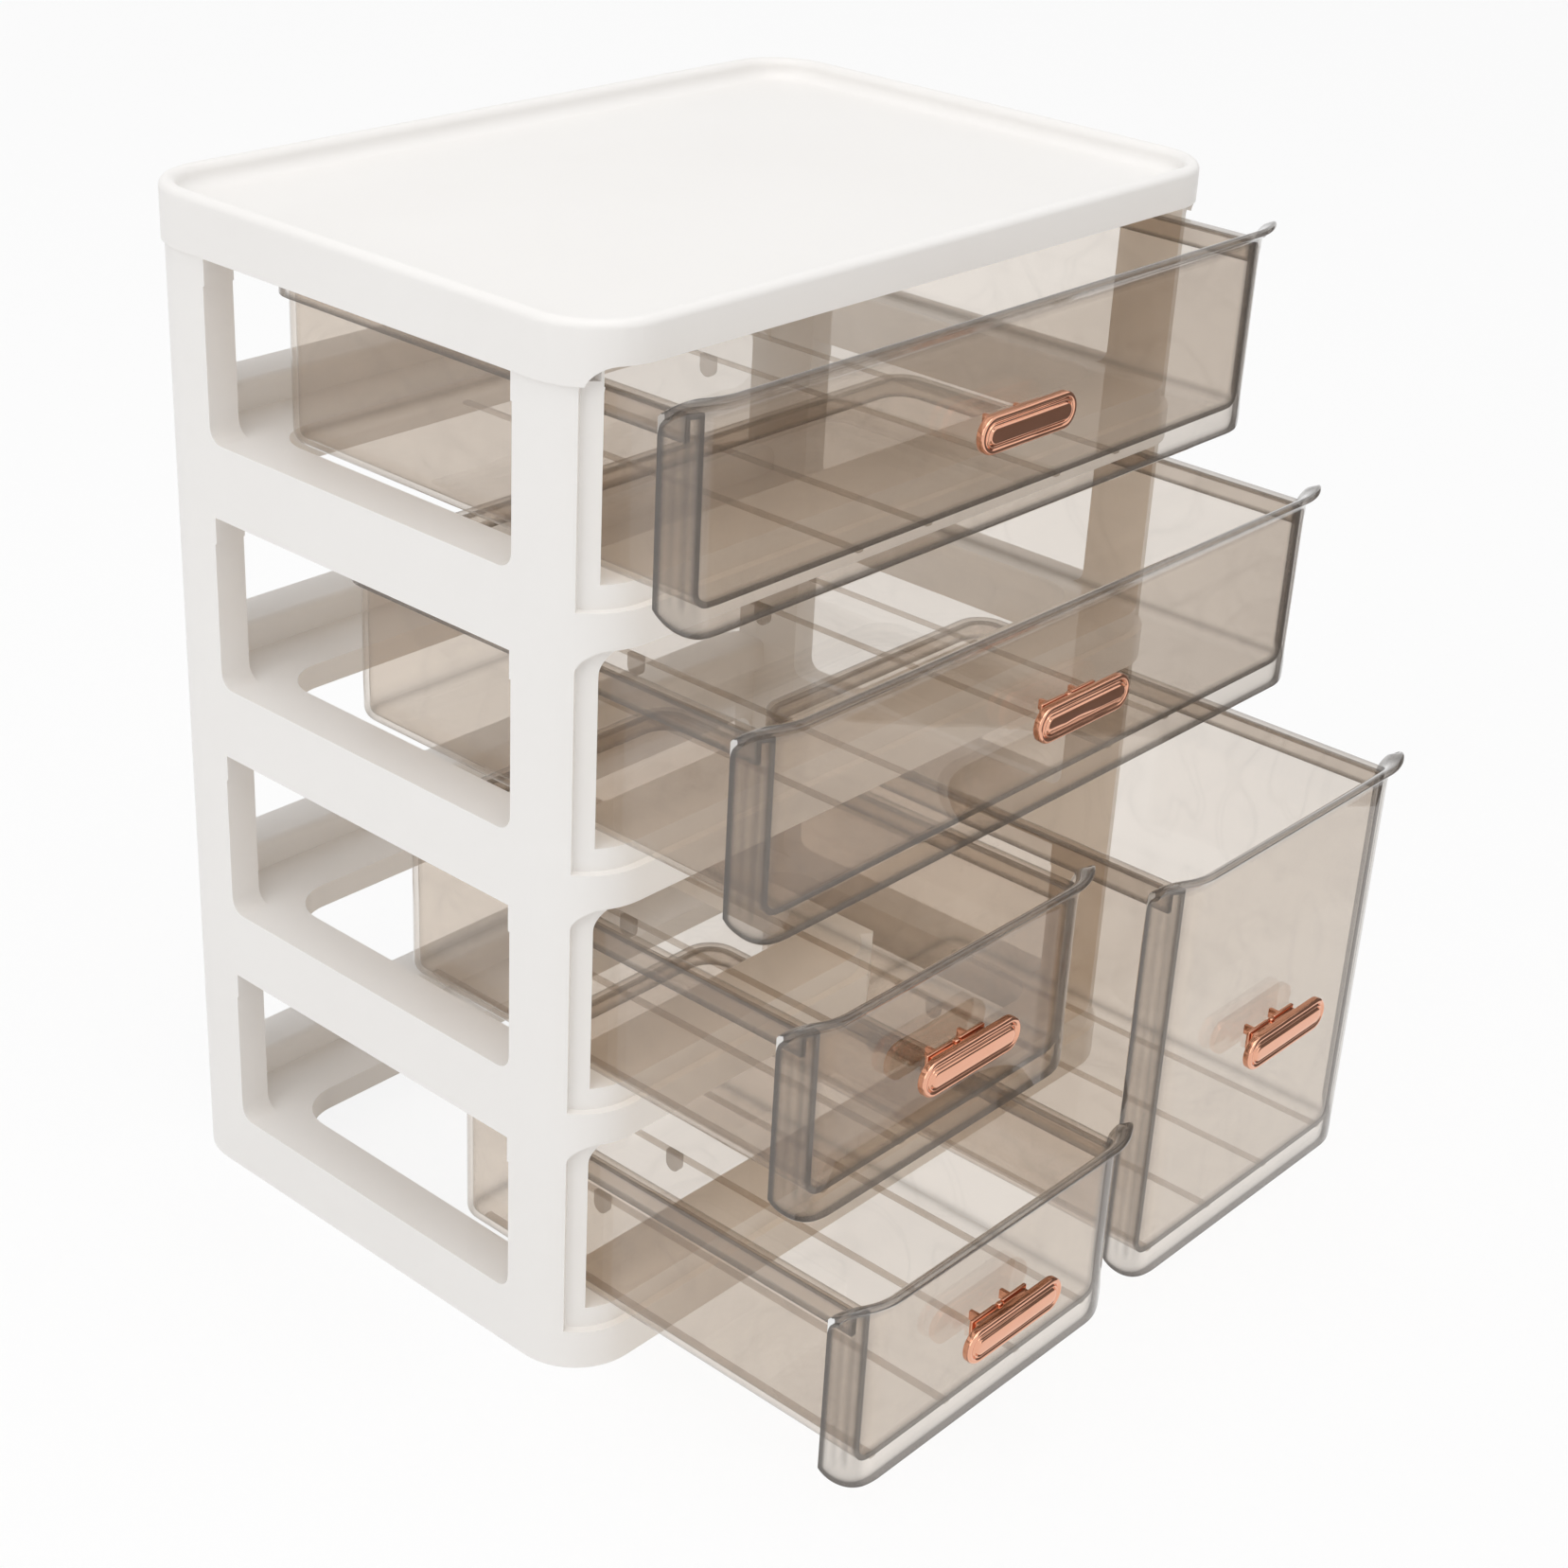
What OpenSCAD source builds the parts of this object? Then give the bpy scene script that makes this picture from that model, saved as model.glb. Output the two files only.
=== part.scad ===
// Desktop mini drawers: four stacked frame mouldings, a top tray and five clear drawers.
// Origin: centre of the base on the desk. X to the right, Y to the back, Z up.

/* [Frame] */
// Width of the shelf frames
frame_w = 279; // [240:1:340]
// Depth of the shelf frames
frame_d = 190; // [176:1:240]
// Radius of the four upright corners, seen from above
corner_r = 22; // [20:0.5:25]
// Height from one shelf floor to the next
tier_pitch = 79; // [76:0.5:100]
// Height of the lowest shelf floor above the desk
base_floor_z = 20.5; // [19:0.5:30]
// Width of a post, seen from the front
post_w = 10.5; // [9.5:0.5:12]
// Depth of the front posts, seen from the side
front_post_d = 29.5; // [26:0.5:40]
// Depth of the rear posts, seen from the side
rear_post_d = 32; // [26:0.5:40]
// Wall of the frame mouldings
skin = 2.4; // [2:0.1:2.6]
// Height of a shelf's side and rear rails
rail_h = 23.5; // [20:0.5:25]
// Height of a shelf's front rail, down from its floor
front_rail_h = 18; // [15:0.5:19]
// Thickness of the front and rear rails
rail_t = 12; // [10:0.5:14]
// Length of the collars that hang under the rails onto the posts
collar_h = 8.5; // [7:0.5:12]
// Depth of the spigots that locate each moulding in the posts below
spigot_h = 8; // [4:0.5:14]
// Play of a spigot in its post, each side
spigot_play = 0.2; // [0.1:0.05:0.4]
// Radius at the upper corners of the front openings
front_fillet = 8.5; // [6:0.5:9]
// Radius at the feet of the posts in the side windows
foot_fillet = 5; // [3:0.5:8]

/* [Shelf floors] */
// Width of the ledge along each side
side_ledge = 16.5; // [14:0.5:20]
// Depth of the ledge along the front
front_ledge = 25; // [20:0.5:30]
// Depth of the ledge along the rear
rear_ledge = 38; // [30:0.5:42]
// Radius of the cut-out's corners
cutout_r = 15; // [8:0.5:20]
// Height of the turned-down lip round a cut-out
lip_h = 8; // [5:0.5:12]
// Height of the curb along the rear
curb_h = 9; // [5:0.5:14]
// Depth of the curb along the rear
curb_d = 16.4; // [15:0.2:17]
// Radius along the curb's upper edge
curb_round = 3; // [1:0.5:4]
// Width of the beam beside the tall bay
beam_w = 16; // [14:0.5:20]
// How far the beam stands back from the tall drawer's front
beam_gap = 0.8; // [0.5:0.1:1.2]

/* [Drawer fronts set into the frame] */
// Depth of the recess round each front opening
rebate_d = 2.7; // [2.7:0.1:3]
// How far the recess reaches round the corner, in degrees
rebate_sweep = 54.5; // [50:0.5:58]
// How far the recess reaches below the shelf floor
rebate_drop = 7; // [5:0.5:9]

/* [Top tray] */
// Height of the tray
tray_h = 17.5; // [15:0.5:25]
// Overhang of the tray past the frames
tray_step = 1; // [0.5:0.1:2]
// Width of the tray's raised rim
tray_rim_w = 5; // [4:0.5:8]
// Depth of the tray's hollow below its rim
tray_hollow = 7; // [4:0.5:8]
// Radius between the hollow's floor and the rim
tray_fillet = 4; // [2:0.5:4]

/* [Drawers] */
// Thickness of the drawer walls and floors
drawer_wall = 2; // [1.6:0.1:2.4]
// Thickness of the front plate
plate_t = 2.2; // [1.8:0.1:2.3]
// Height of the body above its shelf floor
body_h = 55; // [45:0.5:55]
// Free length behind a closed drawer
rear_gap = 1.6; // [0.8:0.1:3]
// Radius of the rear corners, seen from above
body_r = 11; // [8:0.5:16]
// Radius along the bottom edges
bottom_r = 5; // [4:0.5:7]
// Width of the turned-over rim
rim_w = 4.6; // [4:0.1:6]
// Height of the turned-over rim
rim_h = 8; // [5:0.5:12]
// Thickness of the turned-over rim
rim_t = 1.6; // [1.2:0.1:2]
// Width of a runner rib under the floor
runner_w = 2.5; // [1.5:0.1:4]
// Height of a runner rib
runner_h = 0.8; // [0.5:0.1:1.5]
// Running gap between a drawer and its shelf
slide_gap = 0.3; // [0.3:0.05:1]
// Gap between a drawer's rim and the posts
side_gap = 0.5; // [0.4:0.05:1]
// Gap between the fronts of the small drawers and the tall drawer
middle_gap = 3.6; // [2.5:0.1:6]

/* [Front plates] */
// Height of the front plate above the shelf floor
plate_up = 60.5; // [56:0.5:60.5]
// How far the front plate hangs below the shelf floor
plate_down = 6.5; // [4:0.5:6.5]
// Radius of the lower corners
plate_low_r = 13; // [8:0.5:16]
// Radius of the upper corners
plate_top_r = 7; // [4:0.5:9]
// How far the corner radii reach past the plate's ends
corner_over = 0.3; // [0.2:0.05:0.5]
// Gap between the plate's edge and the end of the recess
plate_end_gap = 0.4; // [0.3:0.05:1]
// Radius of the flared lip's hollow front
flare_r = 5.2; // [4:0.1:7]
// How far round the lip flares, in degrees
flare_sweep = 68; // [50:1:80]
// Radius of the flute at each end
flute_r = 10; // [6:0.5:14]
// Depth of the flute
flute_d = 0.9; // [0.4:0.05:1]
// Where the flute lies round the curved end, in degrees
flute_at = 36; // [30:1:38]
// Distance of the flute's ends from the plate's top and bottom edges
flute_end = 9; // [8:0.5:14]
// Length of the taper at the flute's ends
flute_taper = 4; // [2:0.5:8]

/* [Stopper tabs] */
// Full travel of a drawer
travel = 116; // [90:1:116]
// Depth of a tab, front to back
tab_d = 6; // [4:0.5:8]
// Thickness of a tab
tab_t = 2; // [1.5:0.1:3]
// Height of a tab
tab_h = 7.2; // [4:0.1:7.6]
// Gap between a tab and the cut-out's edge at full travel
tab_gap = 0.4; // [0.3:0.05:1]
// Side distance of the wide drawers' tabs from the middle
wide_tab_x = 30; // [20:1:60]

/* [Handles] */
// Length of the handle bar
bar_l = 44; // [36:0.5:56]
// Height of the handle bar
bar_h = 11.5; // [10:0.5:14]
// Thickness of the bar at its edge
bar_t = 2.6; // [2:0.1:4]
// Height of each step on the bar's face
bar_step = 0.8; // [0.4:0.1:1.2]
// Gap between the bar's back and the front plate
bar_reach = 5; // [4:0.1:9]
// Width of the stem
stem_w = 26; // [18:0.5:30]
// Height of the stem
stem_h = 4.6; // [3.5:0.1:6]
// Height of the stem's foot on the plate
stem_foot = 1.2; // [0.8:0.1:2]
// Shoulder of the stem beside its prongs
stem_shoulder = 5; // [4:0.5:6]
// Shoulder of the stem above and below its prongs
stem_ledge = 0.6; // [0.4:0.1:0.8]
// Play of the prongs in the plate's slot, each side
slot_play = 0.15; // [0.1:0.05:0.4]
// Thickness of a snap prong
prong_t = 1.4; // [1:0.1:1.8]
// Catch of a snap prong behind the plate
prong_catch = 0.8; // [0.5:0.1:1.2]
// Gap between the catch and the plate's rear face
catch_gap = 0.1; // [0.05:0.05:0.4]
// Height of the handles above the shelf floor
handle_z = 26.5; // [24:0.5:36]
// Height of the tall drawer's handle above its shelf floor
tall_handle_z = 64; // [40:0.5:90]

/* [How far the drawers stand open] */
// Top drawer
top_pull = 27; // [0:1:116]
// Middle drawer
middle_pull = 56; // [0:1:116]
// Small upper drawer
small_upper_pull = 77; // [0:1:116]
// Small lower drawer
small_lower_pull = 101; // [0:1:116]
// Tall drawer
tall_pull = 100; // [0:1:116]

/* [Hidden] */
$fn = 64;

white = [0.95, 0.94, 0.93];
smoke = [0.45, 0.39, 0.35, 0.55];
rose_gold = [0.86, 0.55, 0.42];

// centres of the upright corners' arcs
arc_x = frame_w / 2 - corner_r;
arc_y = frame_d / 2 - corner_r;
front_y = -frame_d / 2;
rear_y = frame_d / 2;
// inner faces of the posts and rails
inner_x = frame_w / 2 - post_w;
rail_y = frame_d / 2 - rail_t;
// shelf floors, and the level where a fifth floor would be
function floor_z(tier) = base_floor_z + tier * tier_pitch;
tray_z = floor_z(4) - rail_h;
// where a moulding's collars meet the posts below it
function seam_z(tier) = floor_z(tier) - rail_h - collar_h;

// cut-outs of the shelf floors: left, right, front and rear edges
cut_x = frame_w / 2 - side_ledge;
cut_front = front_y + front_ledge;
cut_rear = rear_y - rear_ledge;
curb_y = rear_y - curb_d;
// the beam beside the tall bay ends just short of the tall drawer's front
beam_x1 = middle_gap / 2 - beam_gap;
beam_x0 = beam_x1 - beam_w;

// front plates: their arcs share the frame's corner centres when closed
crease_x = arc_x + corner_r * sin(rebate_sweep);
arc_reach = round((corner_r * sin(rebate_sweep) - plate_end_gap) * 100) / 100;
plate_x = arc_x + arc_reach;
plate_sweep = asin(arc_reach / corner_r);
// drawer bodies
rim_x = inner_x - side_gap;
body_inset = plate_x - rim_x;
body_rear = curb_y - rear_gap;
small_x1 = -middle_gap / 2;
tall_x0 = middle_gap / 2;
// the fronts' inner ends curl into the rails within this distance of the middle
meet_x = tall_x0 + arc_reach + skin;
// the two prongs of a handle
prongs_w = stem_w - 2 * stem_shoulder;
prongs_h = stem_h - 2 * stem_ledge;
// the stopper tabs meet the cut-out's front edge at full travel
tab_y = cut_front + travel + tab_gap;
cut = 1;
embed = 0.6;

// ---------- outlines seen from above ----------

// outline of the frame, drawn in by inset
module frame_plan(inset = 0) {
    for (sx = [-1, 1])
        for (sy = [-1, 1])
            translate([sx * arc_x, sy * arc_y])
                circle(corner_r - inset);
    square([2 * arc_x, frame_d - 2 * inset], center = true);
    square([frame_w - 2 * inset, 2 * arc_y], center = true);
}

// one post: side is -1 or 1, end is -1 at the front and 1 at the rear
module post_plan(side, end, inset = 0) {
    depth = end < 0 ? front_post_d : rear_post_d;
    intersection() {
        frame_plan(inset);
        translate([side * (frame_w - post_w) / 2, end * (frame_d - depth) / 2])
            square([post_w - 2 * inset, depth - 2 * inset], center = true);
    }
}

// everything in front of the two lines drawn from the arc centres at angle sweep
module front_wedge(x0, x1, sweep) {
    far = 2 * corner_r;
    polygon([
        [x0, -arc_y],
        [x0 - far * sin(sweep), -arc_y - far * cos(sweep)],
        [x0 - far * sin(sweep), -arc_y - far],
        [x1 + far * sin(sweep), -arc_y - far],
        [x1 + far * sin(sweep), -arc_y - far * cos(sweep)],
        [x1, -arc_y]
    ]);
}

// the recess that a closed drawer's front fills; the front runs from x0 to x1
module rebate_plan(x0, x1) {
    intersection() {
        difference() {
            square([2 * frame_w, 2 * frame_d], center = true);
            drawer_plan(x0, x1, rebate_d);
        }
        front_wedge(x0 + arc_reach, x1 - arc_reach, rebate_sweep);
    }
}

// outline of a drawer whose front plate runs from x0 to x1, drawn in by inset
module drawer_plan(x0, x1, inset = 0) {
    c0 = x0 + arc_reach;
    c1 = x1 - arc_reach;
    for (x = [c0, c1])
        translate([x, -arc_y])
            circle(corner_r - inset);
    translate([c0, front_y + inset])
        square([c1 - c0, corner_r]);
    translate([c0 - corner_r + inset, -arc_y])
        square([c1 - c0 + 2 * (corner_r - inset), frame_d]);
}

// ---------- helpers ----------

// sweeps a profile round a rectangle with round corners: the profile's x runs outwards
// from the corner centres, which lie at x = -cx and cx, y = -cy and cy
module sweep_round(cx, cy) {
    corners = [[cx, cy], [-cx, cy], [-cx, -cy], [cx, -cy]];
    for (k = [0:3]) {
        translate(corners[k])
            rotate(90 * k)
                rotate_extrude(angle = 90)
                    children();
        translate(corners[(k + 1) % 4])
            rotate([90, 0, 90 * (k + 1)])
                linear_extrude(k % 2 == 0 ? 2 * cx : 2 * cy)
                    children();
    }
}

// a bar with a hollow quarter-round section: it fills the corner between +X and +Z
module fillet_bar(r, length) {
    rotate([90, 0, 0])
        linear_extrude(length, center = true)
            difference() {
                translate([-embed, -embed])
                    square(r + embed);
                translate([r, r])
                    circle(r);
            }
}

// ---------- frame mouldings ----------

// recesses round every front opening
module front_rebates() {
    for (tier = [2, 3])
        rebate(tier, tier, -plate_x, plate_x);
    for (tier = [0, 1])
        rebate(tier, tier, -plate_x, small_x1);
    rebate(0, 1, tall_x0, plate_x);
}

module rebate(tier, top_tier, x0, x1) {
    low = floor_z(tier) - rebate_drop;
    high = floor_z(top_tier + 1) - front_rail_h;
    intersection() {
        translate([0, 0, low])
            linear_extrude(high - low)
                rebate_plan(x0, x1);
        // rounded upper corners, seen from the front
        translate([0, 0, low])
            rotate([90, 0, 0])
                linear_extrude(2 * frame_d, center = true)
                    rebate_front(high - low);
    }
}

module rebate_front(height) {
    translate([-crease_x, -cut])
        square([2 * crease_x, height - plate_top_r + cut]);
    translate([-crease_x + plate_top_r, 0])
        square([2 * (crease_x - plate_top_r), height]);
    for (side = [-1, 1])
        translate([side * (crease_x - plate_top_r), height - plate_top_r])
            circle(plate_top_r);
}

// four posts on a shelf, hollow from above
module posts(tier) {
    low = floor_z(tier);
    high = seam_z(tier + 1);
    for (side = [-1, 1])
        for (end = [-1, 1])
            difference() {
                translate([0, 0, low - embed])
                    linear_extrude(high - low + embed)
                        post_plan(side, end);
                translate([0, 0, low])
                    linear_extrude(high - low + cut)
                        post_core(side, end);
            }
    foot_fillets(low);
}

// inside of a hollow post, clear of the front recess
module post_core(side, end, gap = 0) {
    intersection() {
        post_plan(side, end, skin + gap);
        frame_plan(skin + (end < 0 ? rebate_d : 0) + gap);
    }
}

// rounded feet of the posts in the side windows
module foot_fillets(z) {
    for (side = [-1, 1]) {
        x = side * (inner_x + post_w / 2);
        translate([x, front_y + front_post_d, z])
            rotate(90)
                fillet_bar(foot_fillet, post_w);
        translate([x, rear_y - rear_post_d, z])
            rotate(-90)
                fillet_bar(foot_fillet, post_w);
    }
}

// collars under the rails, with spigots that seat in the posts below
module collars(tier) {
    seam = seam_z(tier);
    rail_low = floor_z(tier) - rail_h;
    for (side = [-1, 1])
        for (end = [-1, 1]) {
            translate([0, 0, seam])
                linear_extrude(rail_low - seam + embed)
                    post_plan(side, end);
            translate([0, 0, seam - spigot_h])
                linear_extrude(spigot_h + embed)
                    post_core(side, end, spigot_play);
        }
    collar_fillets(tier);
}

// rounded upper corners of the side windows, the rear openings and the front openings
module collar_fillets(tier) {
    rail_low = floor_z(tier) - rail_h;
    front_low = floor_z(tier) - front_rail_h;
    for (side = [-1, 1]) {
        x = side * (inner_x + post_w / 2);
        translate([x, front_y + front_post_d, rail_low])
            rotate([180, 0, 90])
                mirror([1, 0, 0])
                    fillet_bar(collar_h, post_w);
        translate([x, rear_y - rear_post_d, rail_low])
            rotate([180, 0, -90])
                mirror([1, 0, 0])
                    fillet_bar(collar_h, post_w);
        intersection() {
            translate([0, 0, rail_low - collar_h])
                linear_extrude(rail_h + collar_h)
                    frame_plan();
            union() {
                translate([side * inner_x, front_y + rail_t / 2, front_low])
                    rotate([180, 0, 0])
                        mirror([side > 0 ? 1 : 0, 0, 0])
                            fillet_bar(front_fillet, rail_t);
                translate([side * inner_x, rear_y - rail_t / 2, rail_low])
                    rotate([180, 0, 0])
                        mirror([side > 0 ? 1 : 0, 0, 0])
                            fillet_bar(collar_h, rail_t);
            }
        }
    }
}

// the ring of rails under a shelf floor, open below, and the floor itself
module shelf_box(tier, low) {
    top = floor_z(tier);
    difference() {
        translate([0, 0, low])
            linear_extrude(top - low)
                frame_plan();
        // the space under the floor
        translate([-inner_x, -rail_y, low - cut])
            cube([2 * inner_x, 2 * rail_y, top - low - skin + cut]);
        rail_cores(low, top - skin, tier < 2 ? meet_x : -embed);
    }
    // backs the rail where the ends of two fronts sink into it
    if (tier < 2)
        translate([-meet_x, -rail_y - embed, top - front_rail_h])
            cube([2 * meet_x, skin + embed, front_rail_h - embed]);
    curb(top);
}

// the rails are channels, open below; the front one is solid up to solid_x from the middle
module rail_cores(low, high, solid_x) {
    side_y0 = front_y + front_post_d + skin;
    side_y1 = rear_y - rear_post_d - skin;
    for (side = [-1, 1])
        translate([side * (inner_x + post_w / 2), (side_y0 + side_y1) / 2, (low + high - cut) / 2])
            cube([post_w - 2 * skin, side_y1 - side_y0, high - low + cut], center = true);
    // the front channel lies behind the recess
    for (x = [-inner_x + skin, solid_x])
        translate([x, front_y + rebate_d + skin, low - cut])
            cube([inner_x - skin - solid_x, rail_t - 2 * skin - rebate_d, high - low + cut]);
    translate([-inner_x + skin, rail_y + skin, low - cut])
        cube([2 * (inner_x - skin), rail_t - 2 * skin, high - low + cut]);
}

// a raised step along the rear, hollow below
module curb(top) {
    difference() {
        intersection() {
            translate([0, 0, top - embed])
                linear_extrude(curb_h + embed)
                    frame_plan();
            translate([0, curb_y, top])
                rotate([90, 0, 90])
                    linear_extrude(2 * inner_x + cut, center = true)
                        curb_profile();
        }
        translate([-inner_x + skin, rail_y + skin, top - skin - embed])
            cube([2 * (inner_x - skin), rail_t - 2 * skin, curb_h]);
    }
}

module curb_profile() {
    translate([0, -embed])
        square([curb_d, curb_h - curb_round + embed]);
    translate([curb_round, 0])
        square([curb_d - curb_round, curb_h]);
    translate([curb_round, curb_h - curb_round])
        circle(curb_round);
}

// hole through a shelf floor from x0 to x1
module cutout(x0, x1, top) {
    translate([0, 0, top - skin - cut])
        linear_extrude(skin + 2 * cut)
            round_rect(x0, x1, cut_front, cut_rear, cutout_r);
}

module round_rect(x0, x1, y0, y1, r) {
    for (x = [x0 + r, x1 - r])
        for (y = [y0 + r, y1 - r])
            translate([x, y])
                circle(r);
    translate([x0, y0 + r])
        square([x1 - x0, y1 - y0 - 2 * r]);
    translate([x0 + r, y0])
        square([x1 - x0 - 2 * r, y1 - y0]);
}

// turned-down lip round a cut-out
module cutout_lip(x0, x1, top) {
    translate([0, 0, top - lip_h])
        linear_extrude(lip_h - embed)
            difference() {
                round_rect(x0 - skin, x1 + skin, cut_front - skin, cut_rear + skin, cutout_r + skin);
                round_rect(x0, x1, cut_front, cut_rear, cutout_r);
            }
}

// cuts a rail moulding's front down to the front rail's height
module front_opening(tier) {
    low = floor_z(tier) - rail_h;
    translate([-inner_x, front_y - cut, low - cut])
        cube([2 * inner_x, rail_t + 2 * cut, rail_h - front_rail_h + cut]);
}

module wide_shelf(tier) {
    top = floor_z(tier);
    difference() {
        union() {
            difference() {
                shelf_box(tier, top - rail_h);
                cutout(-cut_x, cut_x, top);
                front_opening(tier);
            }
            cutout_lip(-cut_x, cut_x, top);
            collars(tier);
            posts(tier);
        }
        front_rebates();
    }
}

module base_frame() {
    top = floor_z(0);
    color(white)
        difference() {
            union() {
                difference() {
                    shelf_box(0, 0);
                    cutout(-cut_x, cut_x, top);
                }
                cutout_lip(-cut_x, cut_x, top);
                posts(0);
            }
            front_rebates();
        }
}

module split_shelf_frame() {
    top = floor_z(1);
    color(white)
        difference() {
            union() {
                difference() {
                    shelf_box(1, top - rail_h);
                    cutout(-cut_x, beam_x0, top);
                    front_opening(1);
                }
                cutout_lip(-cut_x, beam_x0, top);
                split_beam(top);
                collars(1);
                posts(1);
            }
            front_rebates();
            tall_bay(1);
        }
}

// the part of the split shelf that the tall drawer passes through
module tall_bay(tier) {
    low = seam_z(tier) - spigot_h;
    translate([beam_x1, front_y - cut, low])
        cube([inner_x - beam_x1, curb_y - front_y + cut, floor_z(tier) - low + cut]);
}

// wall that closes the split shelf beside the tall bay
module split_beam(top) {
    translate([beam_x1 - skin, front_y + rebate_d, top - front_rail_h])
        cube([skin, curb_y - front_y - rebate_d + embed, front_rail_h]);
}

module middle_shelf_frame() {
    color(white)
        wide_shelf(2);
}

module upper_shelf_frame() {
    color(white)
        wide_shelf(3);
}

module top_tray() {
    top_r = corner_r + tray_step;
    floor_top = tray_h - tray_hollow;
    color(white)
        difference() {
            union() {
                translate([0, 0, tray_z]) {
                    sweep_round(arc_x, arc_y)
                        tray_profile(top_r, floor_top);
                    translate([-arc_x, -arc_y, floor_top - skin])
                        cube([2 * arc_x, 2 * arc_y, skin]);
                }
                tray_rails();
                collars(4);
            }
            front_opening_under_tray();
            front_rebates();
        }
}

// half section of the tray, from the corner centres outwards
module tray_profile(outer, floor_top) {
    round_r = tray_rim_w / 2;
    inner = outer - tray_rim_w;
    translate([0, floor_top - skin])
        square([outer - cut / 2, skin]);
    translate([outer - skin - tray_step, 0])
        square([skin + tray_step, floor_top]);
    translate([inner, floor_top - skin])
        square([tray_rim_w, tray_hollow + skin - round_r]);
    translate([outer - round_r, tray_h - round_r])
        circle(round_r);
    difference() {
        translate([inner - tray_fillet, floor_top - embed])
            square(tray_fillet + embed);
        translate([inner - tray_fillet, floor_top + tray_fillet])
            circle(tray_fillet);
    }
}

// inner walls of the tray's rails, down to the rail's lower edge
module tray_rails() {
    depth = tray_h - tray_hollow - skin + embed;
    for (side = [-1, 1])
        translate([side * (inner_x + skin / 2), 0, tray_z + depth / 2])
            cube([skin, 2 * rail_y + 2 * embed, depth], center = true);
    for (end = [-1, 1])
        translate([0, end * (rail_y + skin / 2), tray_z + depth / 2])
            cube([2 * inner_x + 2 * embed, skin, depth], center = true);
}

module front_opening_under_tray() {
    translate([-inner_x, front_y - tray_step - cut, tray_z - cut])
        cube([2 * inner_x, rail_t + tray_step + 2 * cut, rail_h - front_rail_h + cut]);
}

// ---------- drawers ----------

// one drawer: plate ends x0 and x1, shelf tier, number of tiers it fills
module drawer(x0, x1, tier, tiers, runners, tabs, knob_z) {
    base = floor_z(tier);
    top_z = base + (tiers - 1) * tier_pitch;
    difference() {
        union() {
            body(x0, x1, base + slide_gap, top_z + body_h, runners, tabs);
            front_plate(x0, x1, base - plate_down, top_z + plate_up);
        }
        handle_slot((x0 + x1) / 2, base + knob_z);
    }
}

// box of the drawer behind its front plate
module body(x0, x1, low, high, runners, tabs) {
    rim0 = x0 + body_inset;
    rim1 = x1 - body_inset;
    mid = (rim0 + rim1) / 2;
    cx = (rim1 - rim0) / 2 - body_r;
    floor_low = low + runner_h;
    intersection() {
        translate([mid, 0, 0]) {
            for (side = [-1, 1]) {
                translate([side * cx, body_rear - body_r, floor_low])
                    rotate(side > 0 ? 0 : 90)
                        rotate_extrude(angle = 90)
                            wall_profile(high - floor_low);
                mirror([side > 0 ? 0 : 1, 0, 0])
                    translate([cx, body_rear - body_r, floor_low])
                        rotate([90, 0, 0])
                            linear_extrude(frame_d)
                                wall_profile(high - floor_low);
            }
            translate([-cx, body_rear - body_r, floor_low])
                rotate([90, 0, 90])
                    linear_extrude(2 * cx)
                        wall_profile(high - floor_low);
            translate([-cx, front_y, floor_low])
                cube([2 * cx, body_rear - body_r - front_y, drawer_wall]);
        }
        translate([0, 0, low])
            linear_extrude(high - low)
                drawer_plan(x0, x1, plate_t / 2);
    }
    for (x = runners)
        translate([x - runner_w / 2, front_y + plate_t / 2, low])
            cube([runner_w, body_rear - bottom_r - rim_w - front_y, runner_h + embed]);
    for (x = tabs)
        stopper_tab(x, low + runner_h + embed);
}

// section of a side or rear wall, x outwards from the rear corner's centre
module wall_profile(height) {
    outer = body_r - (rim_w - drawer_wall);
    square([outer - bottom_r, drawer_wall]);
    translate([outer - drawer_wall, bottom_r])
        square([drawer_wall, height - bottom_r]);
    translate([outer - bottom_r, bottom_r])
        difference() {
            circle(bottom_r);
            circle(bottom_r - drawer_wall);
            translate([-2 * bottom_r, -bottom_r])
                square([2 * bottom_r, 2 * bottom_r]);
            translate([-bottom_r, 0])
                square([2 * bottom_r, 2 * bottom_r]);
        }
    // the rim turns over outwards and down
    translate([body_r - rim_w, height - rim_t])
        square([rim_w - rim_t / 2, rim_t]);
    translate([body_r - rim_t / 2, height - rim_t / 2])
        circle(rim_t / 2);
    translate([body_r - rim_t, height - rim_h])
        square([rim_t, rim_h - rim_t / 2]);
}

// tab under the floor, round at its lower end, that stops the drawer at the cut-out's edge
module stopper_tab(x, high) {
    low = high - runner_h - embed - tab_h;
    translate([x - tab_t / 2, tab_y, low + tab_d / 2])
        cube([tab_t, tab_d, high - low - tab_d / 2]);
    translate([x - tab_t / 2, tab_y + tab_d / 2, low + tab_d / 2])
        rotate([0, 90, 0])
            cylinder(d = tab_d, h = tab_t);
}

// front plate with curved ends, a flute near each end and a lip flared along its top
module front_plate(x0, x1, low, high) {
    difference() {
        intersection() {
            plate_sweep_solid(x0, x1)
                plate_profile(low, high);
            translate([0, 0, low - cut])
                linear_extrude(high - low + 2 * cut)
                    front_wedge(x0 + arc_reach, x1 - arc_reach, plate_sweep);
            translate([0, front_y + corner_r, low])
                rotate([90, 0, 0])
                    linear_extrude(3 * corner_r)
                        plate_front(x0 - corner_over, x1 + corner_over, high - low);
        }
        for (side = [-1, 1])
            flute(side < 0 ? x0 + arc_reach : x1 - arc_reach, side, low + flute_end, high - flute_end);
    }
}

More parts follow.
